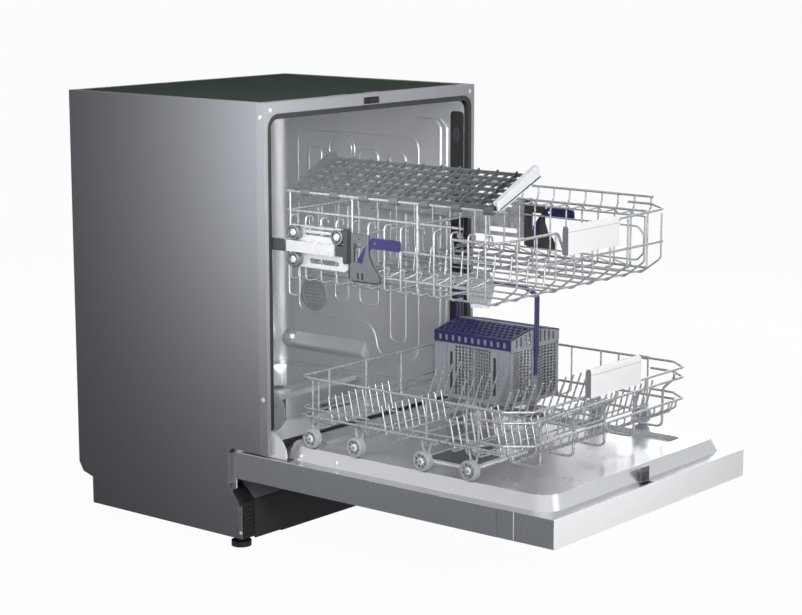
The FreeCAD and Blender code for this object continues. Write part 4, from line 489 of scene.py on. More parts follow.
def top_edges():
    """Folded steel edges round the mat."""
    shape = Shape()
    inner, rear, low, high = 288, 248, HEIGHT - 0.6, HEIGHT + 0.3
    shape.pair(inner, 298.6, -228, rear, low, high)
    shape.box(-inner, inner, rear - 10, rear, low, high)
    shape.piece("top_edge_strips", "cabinet", "panel_grey", ["panel"], bevel=0.3)


def screw_head(shape, at, axis, radius=4.0, paint=0):
    """Pan head screw with a cross recess."""
    steps = ((0, 1), (0.25, 0.98), (0.5, 0.75), (0.58, 0.35), (0.3, 0.2))
    shape.lathe(at, axis, [(radius * h, radius * r) for h, r in steps], 20, paint)


def rear_stampings():
    """Raised fields, cooling slots and screws on the back sheet."""
    shape = Shape()
    rear = 248.8
    for x0, x1 in ((-262, -14), (14, 262)):
        window = round_loop(x0 + 16, x1 - 16, 436, 754, 14)
        shape.plate(round_loop(x0, x1, 420, 770, 22), [window], flat_xz, rear, rear + 1.4)
        slots = [round_loop(x - 3, x + 3, 180, 250, 2.9, 4) for x in share(x0 + 30, x1 - 30, 9)]
        shape.plate(round_loop(x0, x1, 150, 390, 22), slots, flat_xz, rear, rear + 1.4)
        # Black plate behind the cooling slots: painted shade in the openings.
        shape.plate(round_loop(x0 + 18, x1 - 18, 172, 258, 4), [], flat_xz, rear, rear + 0.4, 1)
    for side in SIDES:
        for z in (140, 405, 790):
            screw_head(shape, (side * 284, rear, z), (0, 1, 0), 4.0, 2)
    shape.piece("rear_stampings", "cabinet", "panel_grey", ["panel", "black", "zinc"], bevel=0.5)


def gasket():
    """Rubber seal with a hollow bulb, following the round corners of the opening."""
    shape = Shape()
    section = [(0, 0), (0, 9.4), (3, 9.4), (4.5, 8.2), (5.2, 6.2), (7.2, 7.4), (9.2, 7.0), (9.6, 4.6),
               (8.6, 1.4), (7.0, 0)]
    rows = [[(x, FRONT + 1.1 + depth, z) for x, z in arch(290.8 - inward, 794.8 - inward, 25.8 - inward, 236)]
            for depth, inward in section]
    count, last = len(rows[0]), len(rows)
    faces = bands(last, count, around=False, closed=True)
    faces += [[k * count for k in range(last)], [k * count + count - 1 for k in reversed(range(last))]]
    shape.add([p for row in rows for p in row], faces)
    shape.sheets(round_loop(-237.4, -206, 240, 762, 8), [], CHEEK_OUT, CHEEK_IN)
    shape.piece("seal_strip", "cabinet", "seal_black", ["seal"], ("tub_gasket",), smooth=50)


# Door details

def door_details():
    """Screws on the liner's rim, hinge covers, the latch notch and the seams along the door's edge."""
    screws = Shape()
    for side in SIDES:
        for y, z in ((-301, 193), (-384, 194)):
            screw_head(screws, (side * 270.5, y, z), (side, 0, 0.45), 4.2)
    screws.piece("liner_screws", "door", "rail_steel", ["zinc"])
    covers = Shape()
    covers.pair(276, 283.2, -290, -262, 185.2, 186.6)
    covers.piece("hinge_covers", "door", "black_plastic", ["dark"], bevel=0.5)
    notch = Shape()
    notch.box(-13, 15, -845, -842.6, 176, 208)
    # Dark block in the notch's middle: painted shade standing in for the slot's opening.
    notch.box(-9, 11, -846, -842, 184, 200, 1)
    notch.piece("latch_notch", "door", "mid_grey_plastic", ["grey", "dark"], bevel=0.6)
    ends = Shape()
    for y0, y1 in ((-865.4, -787), (-785.2, -752.5)):
        ends.pair(297.8, 298.5, y0, y1, 136.2, 184.6)
    ends.piece("fascia_ends", "door", "door_steel", ["door"], bevel=0.25)


def base_corners():
    """Ribbed corner posts, screwed strips on the panels' foot and the pale cover of the toe ledge."""
    face, low, knee = -183.6, 24.0, 92.0
    out, back = face - 1.6, face + 1
    ribs, strips = Shape(), Shape()
    for z in share(low + 4, knee - 6, 8):
        ribs.pair(270, 292, out, back, z, z + 3.4)
    for x0, x1 in ((266.5, 269), (293, 297)):
        ribs.pair(x0, x1, out, back, low + 1, knee - 1)
    outline = [(face, low + 2), (face, 86), (-172, 84), (-171, 52), (-176, 50), (-176, low + 2)]
    strips.sheets(outline, [circle_loop(-178, 70, 2.4, 14), circle_loop(-178, 58, 2.0, 14)], 298.8, 299.7)
    for side in SIDES:
        screw_head(strips, (side * 299.4, -180, 36), (side, 0, 0), 3.6, 1)
    ribs.piece("corner_post_ribs", "cabinet", "black_plastic", ["black"], bevel=0.4)
    strips.piece("panel_foot_strips", "cabinet", "panel_grey", ["pale", "white"], bevel=0.25)
    cover = Shape()
    rise = (122.0 - knee) / (-150.0 - face)
    slope = [(face + 2, knee + 2 * rise + 0.1), (-151, knee + (-151 - face) * rise + 0.1)]
    outline = slope + [(y, z + 0.9) for y, z in reversed(slope)]
    cover.plate(outline, [], flat_yz, -264.5, 264.5)
    cover.piece("toe_ledge_cover", "cabinet", "light_grey_plastic", ["pale"], bevel=0.2)
    slot = Shape()
    for x in (-219.5, 219.5):
        hole = round_loop(x - 8.5, x + 8.5, 69, 74, 2)
        slot.plate(round_loop(x - 10.5, x + 10.5, 67, 76, 3), [hole], flat_xz, face - 0.8, face + 0.4)
        # Black plate filling each slot: painted shade in the opening.
        slot.plate(round_loop(x - 8.6, x + 8.6, 69, 74, 2), [], flat_xz, face - 0.3, face + 0.2)
    slot.piece("toe_plate_slots", "cabinet", "black_plastic", ["black"], bevel=0.2)


# Wire goods

WIRE, RAIL, PITCH = 1.7, 2.3, 35.6
UPPER_START = -262.0
UPPER_ROWS = [UPPER_START - PITCH * k for k in range(13)]
UPPER_REAR, UPPER_FRONT, UPPER_FLOOR = -252.3, -730.7, 500.6
UPPER_SIDE, UPPER_BEND = 249, -690
SHELF_X, SHELF_Z = -248.8, 660.0
WHEEL_ROWS, AXLE_Z = (-321, -422, -570, -670), 227.0
ROLLERS = {"upper_rear": (-288, 592.0), "upper_front": (-388, 592.0), "lower": (-288, 544.5)}


def at_x(x, *places):
    """Points (y, z) in one upright plane along the rack."""
    return [(x, y, z) for y, z in places]


def rod(shape, x, z, start, end, radius=RAIL, sides=10):
    """Straight wire along the rack."""
    shape.tube(at_x(x, (start, z), (end, z)), radius, sides)


def zigzag(shape, outer, inner):
    """Thin wire that runs to and fro between two lines along the rack, given as (x, z)."""
    line = []
    for y in UPPER_ROWS[:-1]:
        line += [(outer[0], y, outer[1]), (inner[0], y - PITCH / 2, inner[1])]
    shape.bent(line, 1.5, 4, 8)


def upper_rack_floor(shape):
    """Lengthwise wires that turn up at both ends, cross wires with hooked ends, and runners."""
    rear, front, floor = UPPER_REAR, UPPER_FRONT, UPPER_FLOOR
    cross, runner = floor + 3.4, floor + 6.6
    for x in share(-219, 219, 9):
        head = 577 if -90 < x < 65 else 613
        shape.bent(at_x(x, (rear, 626), (rear, floor), (UPPER_BEND, floor), (-720, floor + 22),
                        (front, floor + 30), (front, head)), WIRE, 13)
    for k, y in enumerate(UPPER_ROWS):
        left = [(-230, y, 608), (-231, y, 617), (-UPPER_SIDE, y, 618), (-UPPER_SIDE, y, cross)]
        right = [(238, y, cross), (238, y, 604), (UPPER_SIDE, y, 617), (UPPER_SIDE, y, 635)]
        if k % 3 == 0:
            shape.bent(left + right, WIRE, 10)
        else:
            shape.bent(left + [(-219, y, cross)], WIRE, 10)
            shape.bent([(212, y, cross)] + right, WIRE, 10)
    for x, end in ((170, -673), (120, -654)):
        rod(shape, x, floor + 7.4, -268, end, 2.5)
    for x in (-60, 60):
        rod(shape, x, runner, UPPER_START, -700, WIRE)
        for y in UPPER_ROWS[:-1]:
            shape.tube([(x, y - PITCH / 2, runner), (x - x / 10, y - PITCH / 2, floor + 52)], WIRE, 8)


def upper_rack_sides(shape):
    """Rails, stiffening zigzags and hanging loops of the two side walls."""
    rear, left, right = UPPER_REAR, -245.4, 241.6
    for x, z, end in ((left, 626, -640), (left, 576, -700), (left, 527, -700), (UPPER_SIDE, 635, -693),
                      (right, 609, UPPER_BEND), (right, 506, UPPER_BEND)):
        rod(shape, x, z, rear, end)
    rod(shape, 225, 602, UPPER_START, UPPER_BEND, WIRE)
    zigzag(shape, (-245, 526), (-214, 541))
    zigzag(shape, (238, 607), (225, 602))
    zigzag(shape, (239, 506), (212, 520))
    loop = at_x(right, (-258, 580), (-666, 580), (-680, 566), (-680, 532), (-666, 518), (-258, 518))
    shape.bent(loop, WIRE, 12)
    for side in SIDES:
        shape.bent(at_x(side * UPPER_SIDE, (-258, 530), (-258, 476), (-283, 476), (-283, 530)), 2.0, 9)
    for y in UPPER_ROWS[::4]:
        shape.tube([(SHELF_X, y, SHELF_Z - 1), (SHELF_X, y, 616)], WIRE)
    rod(shape, SHELF_X, SHELF_Z, -254, -729, 2.5, 14)


def upper_rack():
    """Upper rack in round coated wire, with the front rail dipped under the handle."""
    shape = Shape()
    rear, front = UPPER_REAR, UPPER_FRONT
    upper_rack_floor(shape)
    upper_rack_sides(shape)
    for z in (626, 560):
        shape.tube([(-247, rear - 3, z), (247, rear - 3, z)], RAIL)
    nose = [(-UPPER_SIDE, -622, 607), (-UPPER_SIDE, -702, 607), (-246, front, 612), (-105, front, 612),
            (-84, front, 577), (59, front, 577), (82, front, 616), (223, front, 619),
            (UPPER_SIDE, UPPER_BEND, 622), (UPPER_SIDE, -640, 622)]
    shape.bent(nose, RAIL, 10)
    shape.tube([(-222, front - 0.2, 561), (222, front - 0.2, 561)], RAIL)
    shape.piece("upper_rack_wires", "upper_rack_frame", "rack_coat", ["wire"], ("upper_rack",), smooth=60)


LOWER_REAR, LOWER_FRONT, LOWER_SIDE = -294.2, -775.8, 261.6
LOWER_TOP, LOWER_LOW, LOWER_FLOOR = 335.0, 266.0, 250.0
TINE_BASE = 253.35
SHORT, TALL = (49.0, 12.0, 18.6), (73.0, -26.0, 24.0)
TINE_ROWS = [(-354, -244, -79, SHORT), (-476, -244, -79, SHORT), (-624, -244, -109, SHORT),
             (-722, -244, -109, SHORT), (-383, -20, 50, TALL), (-488, -71, 50, TALL), (-610, -104, 230, TALL),
             (-700, -55, 230, (49.0, -12.0, 18.6))]


def tines(shape, y, x0, x1, kind):
    """Row of leaning tines on a base rod across the rack."""
    height, lean, pitch = kind
    shape.tube([(x0 - 6, y, TINE_BASE), (x1 + 6, y, TINE_BASE)], WIRE, 8)
    for x in share(x0, x1, int(round((x1 - x0) / pitch)) + 1):
        shape.tube([(x, y, TINE_BASE), (x + 1, y + lean, TINE_BASE + height)], WIRE, 8)


def lower_rack_rails(shape):
    """Rails round the walls, with cut front corners and a thick sleeve where they join."""
    side, rear, front = LOWER_SIDE, LOWER_REAR, LOWER_FRONT
    turn_y, turn_x, joint = -737.0, 230.0, -672.0
    for z, end, radius in ((LOWER_TOP, joint, RAIL), (LOWER_LOW, turn_y, RAIL), (280, -452, WIRE)):
        shape.bent([(-side, end, z), (-side, rear, z), (side, rear, z), (side, end, z)], radius, 14)
    for z, start in ((LOWER_TOP, joint), (317.0, -688), (278.0, -688)):
        shape.bent([(-side, start, z), (-side, turn_y, z), (-turn_x, front, z), (turn_x, front, z),
                    (side, turn_y, z), (side, start, z)], RAIL, 6)
    for wall in SIDES:
        rod(shape, wall * side, LOWER_TOP, joint - 10, joint + 10, 3.8, 14)


def lower_rack_uprights(shape):
    """Side uprights that turn in under the floor, and wires from the back to the runner loops."""
    rows = {-1: (-319, -333, -441, -574, -659, -684), 1: (-319, -333, -441, -515, -581, -620, -684)}
    for wall, places in rows.items():
        x = wall * (LOWER_SIDE - 3.9)
        for y in places:
            shape.bent([(x, y, LOWER_TOP), (x, y, LOWER_FLOOR), (x - wall * 34, y, LOWER_FLOOR - 1)], WIRE, 10)
    back, front = LOWER_REAR - 3.9, LOWER_FRONT + 4.4
    for rear_x, x in ((-190, -172), (-88, -74), (13, 20), (114, 114), (215, 208)):
        loop = at_x(x, (-684, LOWER_FLOOR), (-694, 225), (-748, 225), (-748, 296), (front, 318),
                    (front, LOWER_TOP - 1))
        shape.bent(at_x(rear_x, (back, LOWER_TOP), (back, LOWER_FLOOR)) + loop, RAIL, 13)


def lower_rack():
    """Lower rack in round coated wire."""
    shape = Shape()
    lower_rack_rails(shape)
    lower_rack_uprights(shape)
    side, front, floor = LOWER_SIDE, LOWER_FRONT, LOWER_FLOOR - 3.2
    for y in (-310, -420, -500, -560, -620, -664, -742):
        shape.bent([(-side + 3, y, LOWER_LOW + 3), (-side + 19, y, floor), (side - 19, y, floor),
                    (side - 3, y, LOWER_LOW + 3)], WIRE, 8)
    for x in share(-216, 216, 19):
        shape.bent(at_x(x, (front + 3.9, 279), (front + 5, 264), (front + 28, floor + 3.6),
                        (-738, floor + 3.6)), WIRE, 8)
    for row in TINE_ROWS:
        tines(shape, *row)
    shape.piece("lower_rack_wires", "lower_rack_frame", "rack_coat", ["wire"], ("lower_rack",), smooth=60)
    feet = Shape()
    for wall in SIDES:
        for y in WHEEL_ROWS:
            fork = ((y + 11, 262), (y + 5, 240), (y, AXLE_Z), (y - 5, 240), (y - 11, 262))
            feet.bent(at_x(wall * 252, *fork), 2.6, 3)
            axle = [(0, 6), (1, 7), (6, 7), (7, 5), (7, 3), (24, 3)]
            feet.lathe((wall * 247, y, AXLE_Z), (wall, 0, 0), axle, 24)
    feet.piece("wheel_forks", "lower_rack_frame", "rack_coat", ["wheel"], smooth=50)


def wheel(name, slot, y, z, x0, width, radius, paint, spokes, hub_paint):
    """Pair of spoked wheels or rollers on one axle line."""
    shape = Shape()
    for side in SIDES:
        start, way = (side * x0, y, z), (side, 0, 0)
        rim = radius * 0.72
        tyre = [(0, rim), (0, radius - 1.5), (1.2, radius), (width - 1.2, radius), (width, radius - 1.5),
                (width, rim), (width - 3, rim - 0.5), (3, rim - 0.5)]
        bush = [(0, 3.1), (0, 6.2), (width - 0.6, 6.2), (width, 5.4), (width, 3.1)]
        web = [(width * 0.28, 5.8), (width * 0.28, rim), (width * 0.4, rim), (width * 0.4, 5.8)]
        for profile, steps, coat in ((tyre, 44, 0), (bush, 24, 1), (web, 36, 0)):
            shape.lathe(start, way, profile, steps, coat, True)
        for k in range(spokes):
            t = 2 * math.pi * k / spokes
            out = Vector((0, math.cos(t), math.sin(t)))
            across = Vector((0, -math.sin(t), math.cos(t)))
            shape.add([Vector(start) + Vector(way) * depth + out * reach + across * wide * sign
                       for depth in (width * 0.35, width - 1.6)
                       for reach, wide in ((5.6, 1.3), (rim + 0.4, 1.6)) for sign in SIDES],
                      [face[::-1] for face in BOX_FACES])
    shape.piece(name + "_set", name + "_body", slot, [paint, hub_paint], (name,), bevel=0.25)


def wheels():
    """Wheels of the lower rack and rollers of the rails."""
    for place, y in enumerate(WHEEL_ROWS, 1):
        wheel("lower_wheels_%d" % place, "mid_grey_plastic", y, AXLE_Z, 254.6, 14.8, 17.4, "wheel", 8, "light")
    for label, (y, z) in ROLLERS.items():
        wheel("rollers_" + label, "roller_grey", y, z, 261.0, 11.8, 13.4, "roller", 6, "zinc")


# Carriage, levers, shelf and handles

RAIL_OUT = 272


def carriage():
    """Roller plates with stamped slots, axle pins and the moulded height brackets."""
    outline = [(-274, 580), (-278, 606), (-398, 606), (-404, 598), (-404, 536), (-396, 531), (-280, 531),
               (-274, 540)]
    holes = [round_loop(-372, -306, 588, 592, 1.9, 3), round_loop(-372, -306, 597, 600, 1.4, 3),
             round_loop(-384, -316, 539, 548, 4, 4)]
    back, nose = -405, -449
    bracket = [(back, 597), (-447, 599), (nose, 596), (nose, 566), (-456, 548), (-468, 536), (-474, 524),
               (-470, 517), (-414, 517), (back, 524)]
    cover = [(back, 597), (nose, 599), (nose, 566), (-472, 528), (-472, 519), (back, 519)]
    window = [(-417, 583), (-415, 551), (-436, 549), (-445, 583)]
    openings = [window, round_loop(-428, -424, 521.5, 533, 1.6, 3), round_loop(-438, -434, 521.5, 533, 1.6, 3),
                circle_loop(-428, 591, 2.2, 12)]
    flanges = ((-440, back, 597.2, 599.2), (-407.5, -404.5, 519, 597), (-472, -410, 516.5, 519))
    # The one moulded bracket is painted darker on the right than on the left: the right-hand dark paint is
    # painted shade.
    for side, label, paint in ((1, "right", "dark"), (-1, "left", "grey")):
        shape = Shape()
        shape.plate(outline, holes, flat_yz, side * 258.4, side * 259.8)
        shape.box(side * 258.4, side * RAIL_OUT, -398, -280, 604.5, 606)
        for y, z in ROLLERS.values():
            shape.lathe((side * 259, y, z), (side, 0, 0), [(0, 2.98), (13.6, 2.98), (14.4, 2.2)], 20)
        shape.piece("roller_plate_" + label, "carriage", "rail_steel", ["zinc"], bevel=0.3)
        moulding = Shape()
        moulding.plate(bracket, openings, flat_yz, side * 257.9, side * 259.9)
        for flange in flanges:
            moulding.box(side * 253.2, side * 259.9, *flange)
        moulding.plate(cover, [window], flat_yz, side * 253.1, side * 253.9)
        moulding.piece("height_bracket_" + label, "carriage", "light_grey_plastic", [paint],
                       ("roller_carriage",), bevel=0.4)
    caps = Shape()
    caps.pair(260.4, RAIL_OUT, -402.6, -385.2, 559, 577.5)
    caps.sheets(round_loop(-411, -402.6, 547, 608, 4), [], 260.4, RAIL_OUT)
    for side in SIDES:
        screw_head(caps, (side * 274.7, -372, 568), (side, 0, 0), 3.0, 1)
    caps.piece("rail_end_caps", "upper_rails_body", "roller_grey", ["dark", "zinc"], bevel=0.8)


def levers():
    """Height levers: a flat bar with a rolled edge and a slanting trigger."""
    shape = Shape()
    y, z = -460.0, 586.0
    bar = ((9, 5), (4, 9), (-40, 9.5), (-54, 8), (-57, 4), (-57, -7), (-53, -9), (8, -9), (22, -34),
           (26, -37), (36, -35), (37, -30), (17, -3))
    shape.sheets([(y + a, z + b) for a, b in bar], [circle_loop(y, z, 3.05, 20)], 254.9, 257.4)
    shape.pair(254.6, 257.5, -515, y, z + 5, z + 8.8)
    shape.pair(254.6, 257.5, -513, y, z - 8.6, z - 6)
    shape.piece("lift_lever_pair", "lift_levers_body", "accent_purple", ["purple"], ("lift_levers",), bevel=0.5)


SHELF_TILT = math.radians(22)


def on_shelf(u, v, w):
    """Place on the tilted shelf: u out from the rod, v along it, w off the shelf's face."""
    c, s = math.cos(SHELF_TILT), math.sin(SHELF_TILT)
    return Vector((SHELF_X + c * u - s * w, v, SHELF_Z + s * u + c * w))


def across_shelf(u, w, v):
    """The same place for an outline that stands across the rod."""
    return on_shelf(u, v, w)


def cup_shelf():
    """Folding lattice with clips on the rod, a rear flange and a pale end plate."""
    near, far, y0, y1 = 5, 127, -714.0, -269.0
    columns, rows, border = 22, 6, 5
    start, first = near + border, y0 + border
    du, dv = (far - near - 2 * border) / rows, (y1 - y0 - 2 * border) / columns
    lines, ribs = [start + du * k for k in range(rows + 1)], [first + dv * k for k in range(columns + 1)]
    shape = Shape()
    cells = [round_loop(u + 2.0, u + du - 2.0, v + 1.8, v + dv - 1.8, 2.5, 2)
             for u in lines[:-1] for v in ribs[:-1]]
    shape.plate(rect(near, far, y0, y1), cells, on_shelf, -0.4, 2.6)
    wave = [(8, 2), (8, 6), (30, 9), (52, 5), (74, 9), (96, 5), (124, 8), (124, 2)]
    for v in ribs[::2]:
        shape.plate(wave, [], across_shelf, v - 1.0, v + 1.0)
    for u in lines:
        shape.plate(rect(u - 1, u + 1, y0 + 3, y1 - 3), [], on_shelf, 2.0, 5.2)
    for v in share(-300, -696, 7):
        shape.plate(circle_loop(0, 0, 6.2, 18), [circle_loop(0, 0, 2.7, 18)], across_shelf, v - 9, v + 9)
        shape.plate([(2.8, -5.5), (14, -2), (14, 2), (2.8, 5.5)], [], across_shelf, v - 8, v + 8)
    flange = [(near, -0.3), (far, -0.3), (far, 14), (112, 20), (30, 14), (near, 6)]
    shape.plate(flange, [], across_shelf, y1 - 3, y1)
    shape.piece("cup_shelf_lattice", "cup_shelf_body", "mid_grey_plastic", ["grey"], ("cup_shelf",), bevel=0.35)
    end = Shape()
    lip = [(2, -4), (far, -2), (far, 19), (122, 22), (8, 15), (2, 9)]
    end.plate(lip, [], across_shelf, y0, y0 + 3.2)
    end.plate([(4, 11), (126, 19), (126, 22), (4, 15)], [], across_shelf, y0 + 0.5, y0 + 10)
    end.piece("cup_shelf_end", "cup_shelf_body", "light_grey_plastic", ["light"], bevel=0.7)


def handles():
    """Bare rack handles: a drawn plate with a rolled top edge between cheeks painted grey as shade, with a grey
    line of painted shade under the rolled edge.
    """
    length, height = 155, 50
    profile = [(-12, height), (-12, 7), (-11, 3), (-8.5, 0.8), (-5.5, 0.4), (-2, 2.5), (-0.6, 7), (-0.6, 13),
               (-2.6, 13), (-3, 8), (-5.5, 4), (-8, 4.5), (-9, 8), (-9, height)]
    end = height - 0.4
    cheek = [(-11.6, end), (-11.6, 7), (-8.6, 1.2), (-2.4, 2.8), (-0.8, 8), (-0.8, end)]
    for rack, x0, y, top in (("upper", -94.5, -733.05, 624), ("lower", -86.5, -778.05, 385)):
        shape = Shape()
        x1 = x0 + length
        for line, a, b, paint in ((profile, x0 + 0.6, x1 - 0.6, 0), (cheek, x0, x0 + 2.6, 1),
                                  (cheek, x1 - 2.6, x1, 1)):
            shape.plate([(y + out, top - drop) for out, drop in line], [], flat_yz, a, b, paint)
        # Thin grey strip: painted shade along the step under the rolled edge.
        shape.box(x0 + 0.8, x1 - 0.8, y - 12.3, y - 11.5, top - 11.6, top - 10.8, 1)
        shape.piece(rack + "_handle_plate", rack + "_rack_frame", "handle_white", ["white", "cheek"],
                    (rack + "_rack_handle",), bevel=0.7, segments=3)


# Cutlery basket

BX, BY0, BY1, BZ0, BZ1 = 140.0, -514.0, -338.0, 251.75, 375.75
BHALF, BWALL = 75.0, 2.4


def mesh_panel(shape, place, u0, u1, v0, v1, depth, pitch):
    """Moulded lattice between a solid border, folded along its upright middle."""
    columns = 2 * int(round((u1 - u0) / pitch / 2))
    rows = int(round((v1 - v0) / pitch * 1.25))
    du, dv = (u1 - u0) / columns, (v1 - v0) / rows
    fold, middle, half = 8.0, (u0 + u1) / 2, (u1 - u0) / 2

    def folded(u, v, w):
        return place(u, v, w + fold * max(0.0, 1 - abs(u - middle) / half))

    corners = [(u0 + du * a, v0 + dv * b) for a in range(columns) for b in range(rows)]
    cells = [rect(u + 1.1, u + du - 1.1, v + 0.8, v + dv - 0.8) for u, v in corners]
    shape.plate([(u0, v0), (middle, v0), (u1, v0), (u1, v1), (middle, v1), (u0, v1)], cells, folded, 0, depth)


def pilaster(shape, place, u, half, v0, v1):
    """Upright strip with one long slot, backed by a dark strip that is painted shade."""
    slot = round_loop(u - 3.6, u + 3.6, v0 + 10, v1 - 14, 3.5, 5)
    shape.plate(round_loop(u - half, u + half, v0, v1, 2.5, 3), [slot], place, 0, 2.6)
    # Dark strip behind the slot: painted shade inside the opening.
    shape.plate(round_loop(u - half + 1, u + half - 1, v0 + 2, v1 - 2, 2, 3), [], place, 3.2, 3.8, 1)


def ribbed_corner(shape, place, u0, u1, v0, v1):
    """Solid corner panel with upright ribs."""
    shape.plate(round_loop(u0, u1, v0, v1, 1.5, 2), [], place, 1.2, 2.8)
    for u in share(u0 + 1.5, u1 - 4.5, 4):
        shape.plate(round_loop(u, u + 3, v0 + 2, v1 - 2, 1, 2), [], place, 0, 1.6)


def basket():
    """Basket of folded lattice panels between slotted pilasters, with slotted gable ends."""
    shape = Shape()
    z0, z1, band = BZ0 + 7, BZ1 - 24, 24.0
    middle = (BY0 + BY1) / 2
    for side in SIDES:
        face = BX + side * BHALF

        def on_side(u, v, w, face=face, side=side):
            return Vector((face - side * (w + 0.2), u, v))

        mesh_panel(shape, on_side, middle - 42, middle + 42, z0, z1, 1.6, 7.6)
        for y in (middle - 50, middle + 50):
            pilaster(shape, on_side, y, 8.6, z0 - 2, z1 + 2)
        for a, b in ((BY0, middle - 58), (middle + 58, BY1)):
            ribbed_corner(shape, on_side, a, b, z0 - 2, z1 + 2)
        for low, high in ((z1, z1 + band), (BZ0, z0)):
            shape.box(face, face - side * BWALL, BY0, BY1, low, high)
    for end, sign in ((BY0, 1), (BY1, -1)):

        def on_end(u, v, w, end=end, sign=sign):
            return Vector((u, end + sign * (w + 0.2), v))

        for a, b in ((BX - 68, BX - 8), (BX + 8, BX + 68)):
            mesh_panel(shape, on_end, a, b, z0, z1, 1.6, 7.5)
        for x, half in ((BX - 71.5, 3.4), (BX, 8), (BX + 71.5, 3.4)):
            shape.plate(round_loop(x - half, x + half, z0 - 2, z1 + 2, 1.5, 3), [], on_end, 0, 2.6)
        gable = [(BX - BHALF, z1), (BX + BHALF, z1), (BX + BHALF, BZ1), (BX + 6, BZ1 + 11), (BX - 6, BZ1 + 11),
                 (BX - BHALF, BZ1)]
        slots = [round_loop(BX + x - 2.8, BX + x + 2.8, BZ1 - 16, BZ1 - 4 + 14 * (1 - abs(x) / 75), 1.4, 2)
                 for x in (-58, -44, -30, -17, 17, 30, 44, 58)]
        shape.plate(gable, slots, on_end, 0, BWALL)
        shape.box(BX - BHALF, BX + BHALF, end, end + sign * BWALL, BZ0, z0)
    cells = [rect(x, x + 11.5, y, y + 11.2)
             for x in share(BX - 66, BX + 54, 9) for y in share(BY0 + 8, BY1 - 20, 11)]
    shape.plate(rect(BX - 74, BX + 74, BY0 + 1, BY1 - 1), cells, flat_xy, BZ0, BZ0 + BWALL)
    shape.box(BX - 72, BX + 72, middle - 1.2, middle + 1.2, BZ0 + 1, BZ1 - 6)
    shape.box(BX - 5, BX + 5, BY0 + 1, BY1 - 1, BZ1 + 8, BZ1 + 14)
    shape.piece("basket_lattice", "lower_rack_frame", "mid_grey_plastic", ["basket", "dark"],
                ("cutlery_basket",), smooth=35)


def lid(side, label):
    """Lid leaf with a honeycomb of holes, a slotted skirt and a hinge roll."""
    rise = math.atan2(13.75, 70.0)
    hinge = Vector((BX + side * 8, 0, 390.05))
    run = Vector((side * math.cos(rise), 0, -math.sin(rise)))
    lift = Vector((side * math.sin(rise), 0, math.cos(rise)))

    def on_leaf(u, v, w):
        return hinge + run * u + lift * w + Vector((0, v, 0))

    shape = Shape()
    places = [(11 + 12.2 * row, BY0 + 10 + 12 * col + 6 * (row % 2)) for row in range(5) for col in range(14)]
    holes = [circle_loop(u, v, 4.7, 10) for u, v in places if v < BY1 - 7]
    shape.plate(rect(0, 71, BY0 + 0.2, BY1 - 0.2), holes, on_leaf, -2.9, 0)
    outer = BX + side * 78

    def on_skirt(u, v, w):
        return Vector((outer - side * w, u, v))

    slots = [round_loop(y - 4, y + 4, 360, 371, 2, 2) for y in share(BY0 + 14, BY1 - 14, 11)]
    shape.plate(rect(BY0 + 1, BY1 - 1, 356.2, 376.5), slots, on_skirt, 0.1, 2.6)
    for v in share(BY0 + 30, BY1 - 30, 3):
        shape.tube([on_leaf(1.5, v - 14, -1.4), on_leaf(1.5, v + 14, -1.4)], 2.0, 12)
    node_name = "basket_lid_" + label
    shape.piece("lid_leaf_" + label, node_name + "_body", "accent_purple", ["purple"], (node_name,), bevel=0.3)


def lids():
    """Both leaves of the basket's lid."""
    lid(-1, "left")
    lid(1, "right")


def bail():
    """Carrying arch of an oval section with long roots on the gable ends."""
    shape = Shape()
    low, top = 336.0, 462.4
    half = [(-2.8, low), (-2.8, top - 12), (22, top - 2), (62, top)]
    sweep = [(BY0 + a, z) for a, z in half] + [(BY1 - a, z) for a, z in reversed(half)]
    line = rounded(at_x(BX, *sweep), 10, steps=6)
    section = [(7 * math.cos(math.radians(a)), 3.2 * math.sin(math.radians(a))) for a in range(0, 360, 20)]
    rings = []
    for k, here in enumerate(line):
        before, after = line[max(k - 1, 0)], line[min(k + 1, len(line) - 1)]
        way = (after - before).normalized()
        out = Vector((1, 0, 0)).cross(way)
        rings.append([here + Vector((1, 0, 0)) * a + out * b for a, b in section])
    shape.skin(rings)
    for y, sign in ((BY0 - 0.3, -1), (BY1 + 0.3, 1)):
        shape.box(BX - 4, BX + 4, y, y + sign * BWALL, 300, 338)
    shape.piece("basket_arch", "lower_rack_frame", "accent_purple", ["purple"], ("basket_handle",), smooth=60)


# Stage, light and camera

def seen_by(tree, *others):
    """1 for camera rays and for the other kinds of ray that are named, 0 for the rest."""
    rays = node(tree, "LightPath").outputs
    value = rays["Is Camera Ray"]
    for kind in others:
        links = {0: value, 1: rays["Is %s Ray" % kind]}
        value = node(tree, "Math", None, links, operation="MAXIMUM").outputs[0]
    return value


def backdrop():
    """Pale floor that stays white to the camera and keeps a soft shadow."""
    reach, level = 60.0, -0.0005
    mesh = bpy.data.meshes.new("floor")
    mesh.from_pydata([(x, y, level) for x, y in rect(-reach, reach, -reach, reach)], [], [(0, 1, 2, 3)])
    floor = put("floor", mesh)
    mat = bpy.data.materials.new("floor_white")
    mat.use_nodes = True
    tree = mat.node_tree
    shader = tree.nodes["Principled BSDF"]
    shader.inputs["Roughness"].default_value = 0.9
    shader.inputs["Specular IOR Level"].default_value = 0.0
    shades = {6: (0.12, 0.12, 0.12, 1), 7: (1, 1, 1, 1)}
    tone = node(tree, "Mix", shades, {0: seen_by(tree)}, data_type="RGBA")
    tree.links.new(tone.outputs[2], shader.inputs["Base Color"])
    glow = node(tree, "Emission", {"Strength": 1.0})
    part = node(tree, "Math", {1: 0.97}, {0: seen_by(tree, "Glossy")}, operation="MULTIPLY")
    mix = node(tree, "MixShader", None, {0: part.outputs[0], 1: shader.outputs[0], 2: glow.outputs[0]})
    tree.links.new(mix.outputs[0], tree.nodes["Material Output"].inputs["Surface"])
    mesh.materials.append(mat)


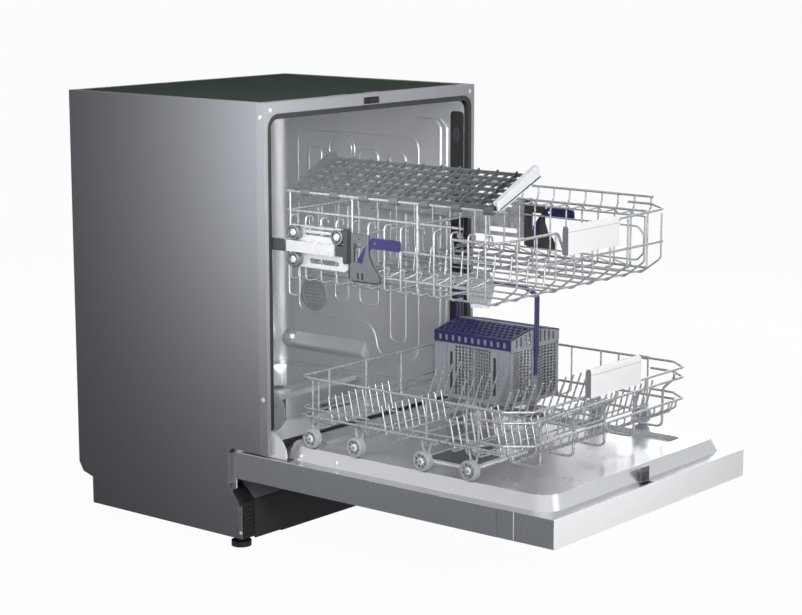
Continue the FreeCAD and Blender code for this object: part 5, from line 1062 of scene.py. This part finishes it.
def world():
    """White to the camera and in reflections, softer as light."""
    space = bpy.data.worlds.new("studio")
    bpy.context.scene.world = space
    space.use_nodes = True
    tree = space.node_tree
    back = tree.nodes["Background"].inputs
    back["Color"].default_value = (1, 1, 1, 1)
    shown = seen_by(tree, "Transmission", "Glossy")
    level = node(tree, "MapRange", {"To Min": 0.1, "To Max": 1.0}, {"Value": shown})
    tree.links.new(level.outputs["Result"], back["Strength"])


def lamp(name, at, aim, size, power, spread=180.0):
    """Large soft lamp aimed at a point."""
    data = bpy.data.lights.new(name, "AREA")
    data.shape = "RECTANGLE"
    data.size, data.size_y = size
    data.energy = power
    data.spread = math.radians(spread)
    obj = put(name, data)
    obj.location = at
    obj.rotation_euler = (Vector(aim) - Vector(at)).to_track_quat("-Z", "Y").to_euler()
    obj.visible_camera = False


PHOTO_WIDTH, FOCAL_PIXELS, SENSOR = 802, 2058.69, 36.0
LOOK_DOWN, LOOK_ASIDE = 10.28, -50.81


def camera():
    """The photograph's viewpoint."""
    data = bpy.data.cameras.new("camera")
    data.sensor_width = SENSOR
    data.lens = FOCAL_PIXELS * SENSOR / PHOTO_WIDTH
    data.clip_end = 200.0
    obj = put("camera", data)
    obj.location = (-2.89861, -2.67218, 1.10136)
    obj.rotation_euler = (math.radians(90 - LOOK_DOWN), 0, math.radians(LOOK_ASIDE))
    bpy.context.scene.camera = obj


for build in (tub_shell, wall_stampings, wall_fittings, vent, front_frame, top_edges, rear_stampings, gasket,
              door_details, base_corners, upper_rack, lower_rack, wheels, carriage, levers, cup_shelf, handles,
              basket, lids, bail, backdrop, world):
    build()
lamp("key", (0.7, -3.2, 2.0), (0, -0.5, 0.4), (1.6, 1.6), 19)
lamp("tub", (-0.75, -2.2, 0.95), (0.28, 0.0, 0.5), (0.7, 0.7), 3.0, 50)
lamp("top", (-0.2, -0.5, 2.6), (0, -0.3, 0.4), (2.0, 2.0), 16)
lamp("panel", (-0.72, -0.56, 0.9), (-0.3, -0.3, 0.8), (0.2, 0.7), 5.4, 105)
lamp("door", (-1.3, -1.5, 0.5), (-0.3, -0.78, 0.16), (0.4, 0.4), 1.5, 60)
lamp("fascia", (0.3, -2.2, 0.3), (0.0, -0.86, 0.16), (0.6, 0.6), 0.43, 60)
lamp("far_side", (2.6, 0.3, 1.4), (0.3, 0.0, 0.4), (1.2, 1.2), 20)
lamp("far_back", (0.3, 2.8, 1.4), (0.0, 0.25, 0.4), (1.2, 1.2), 20)
camera()
bpy.context.scene.view_settings.view_transform = "Standard"
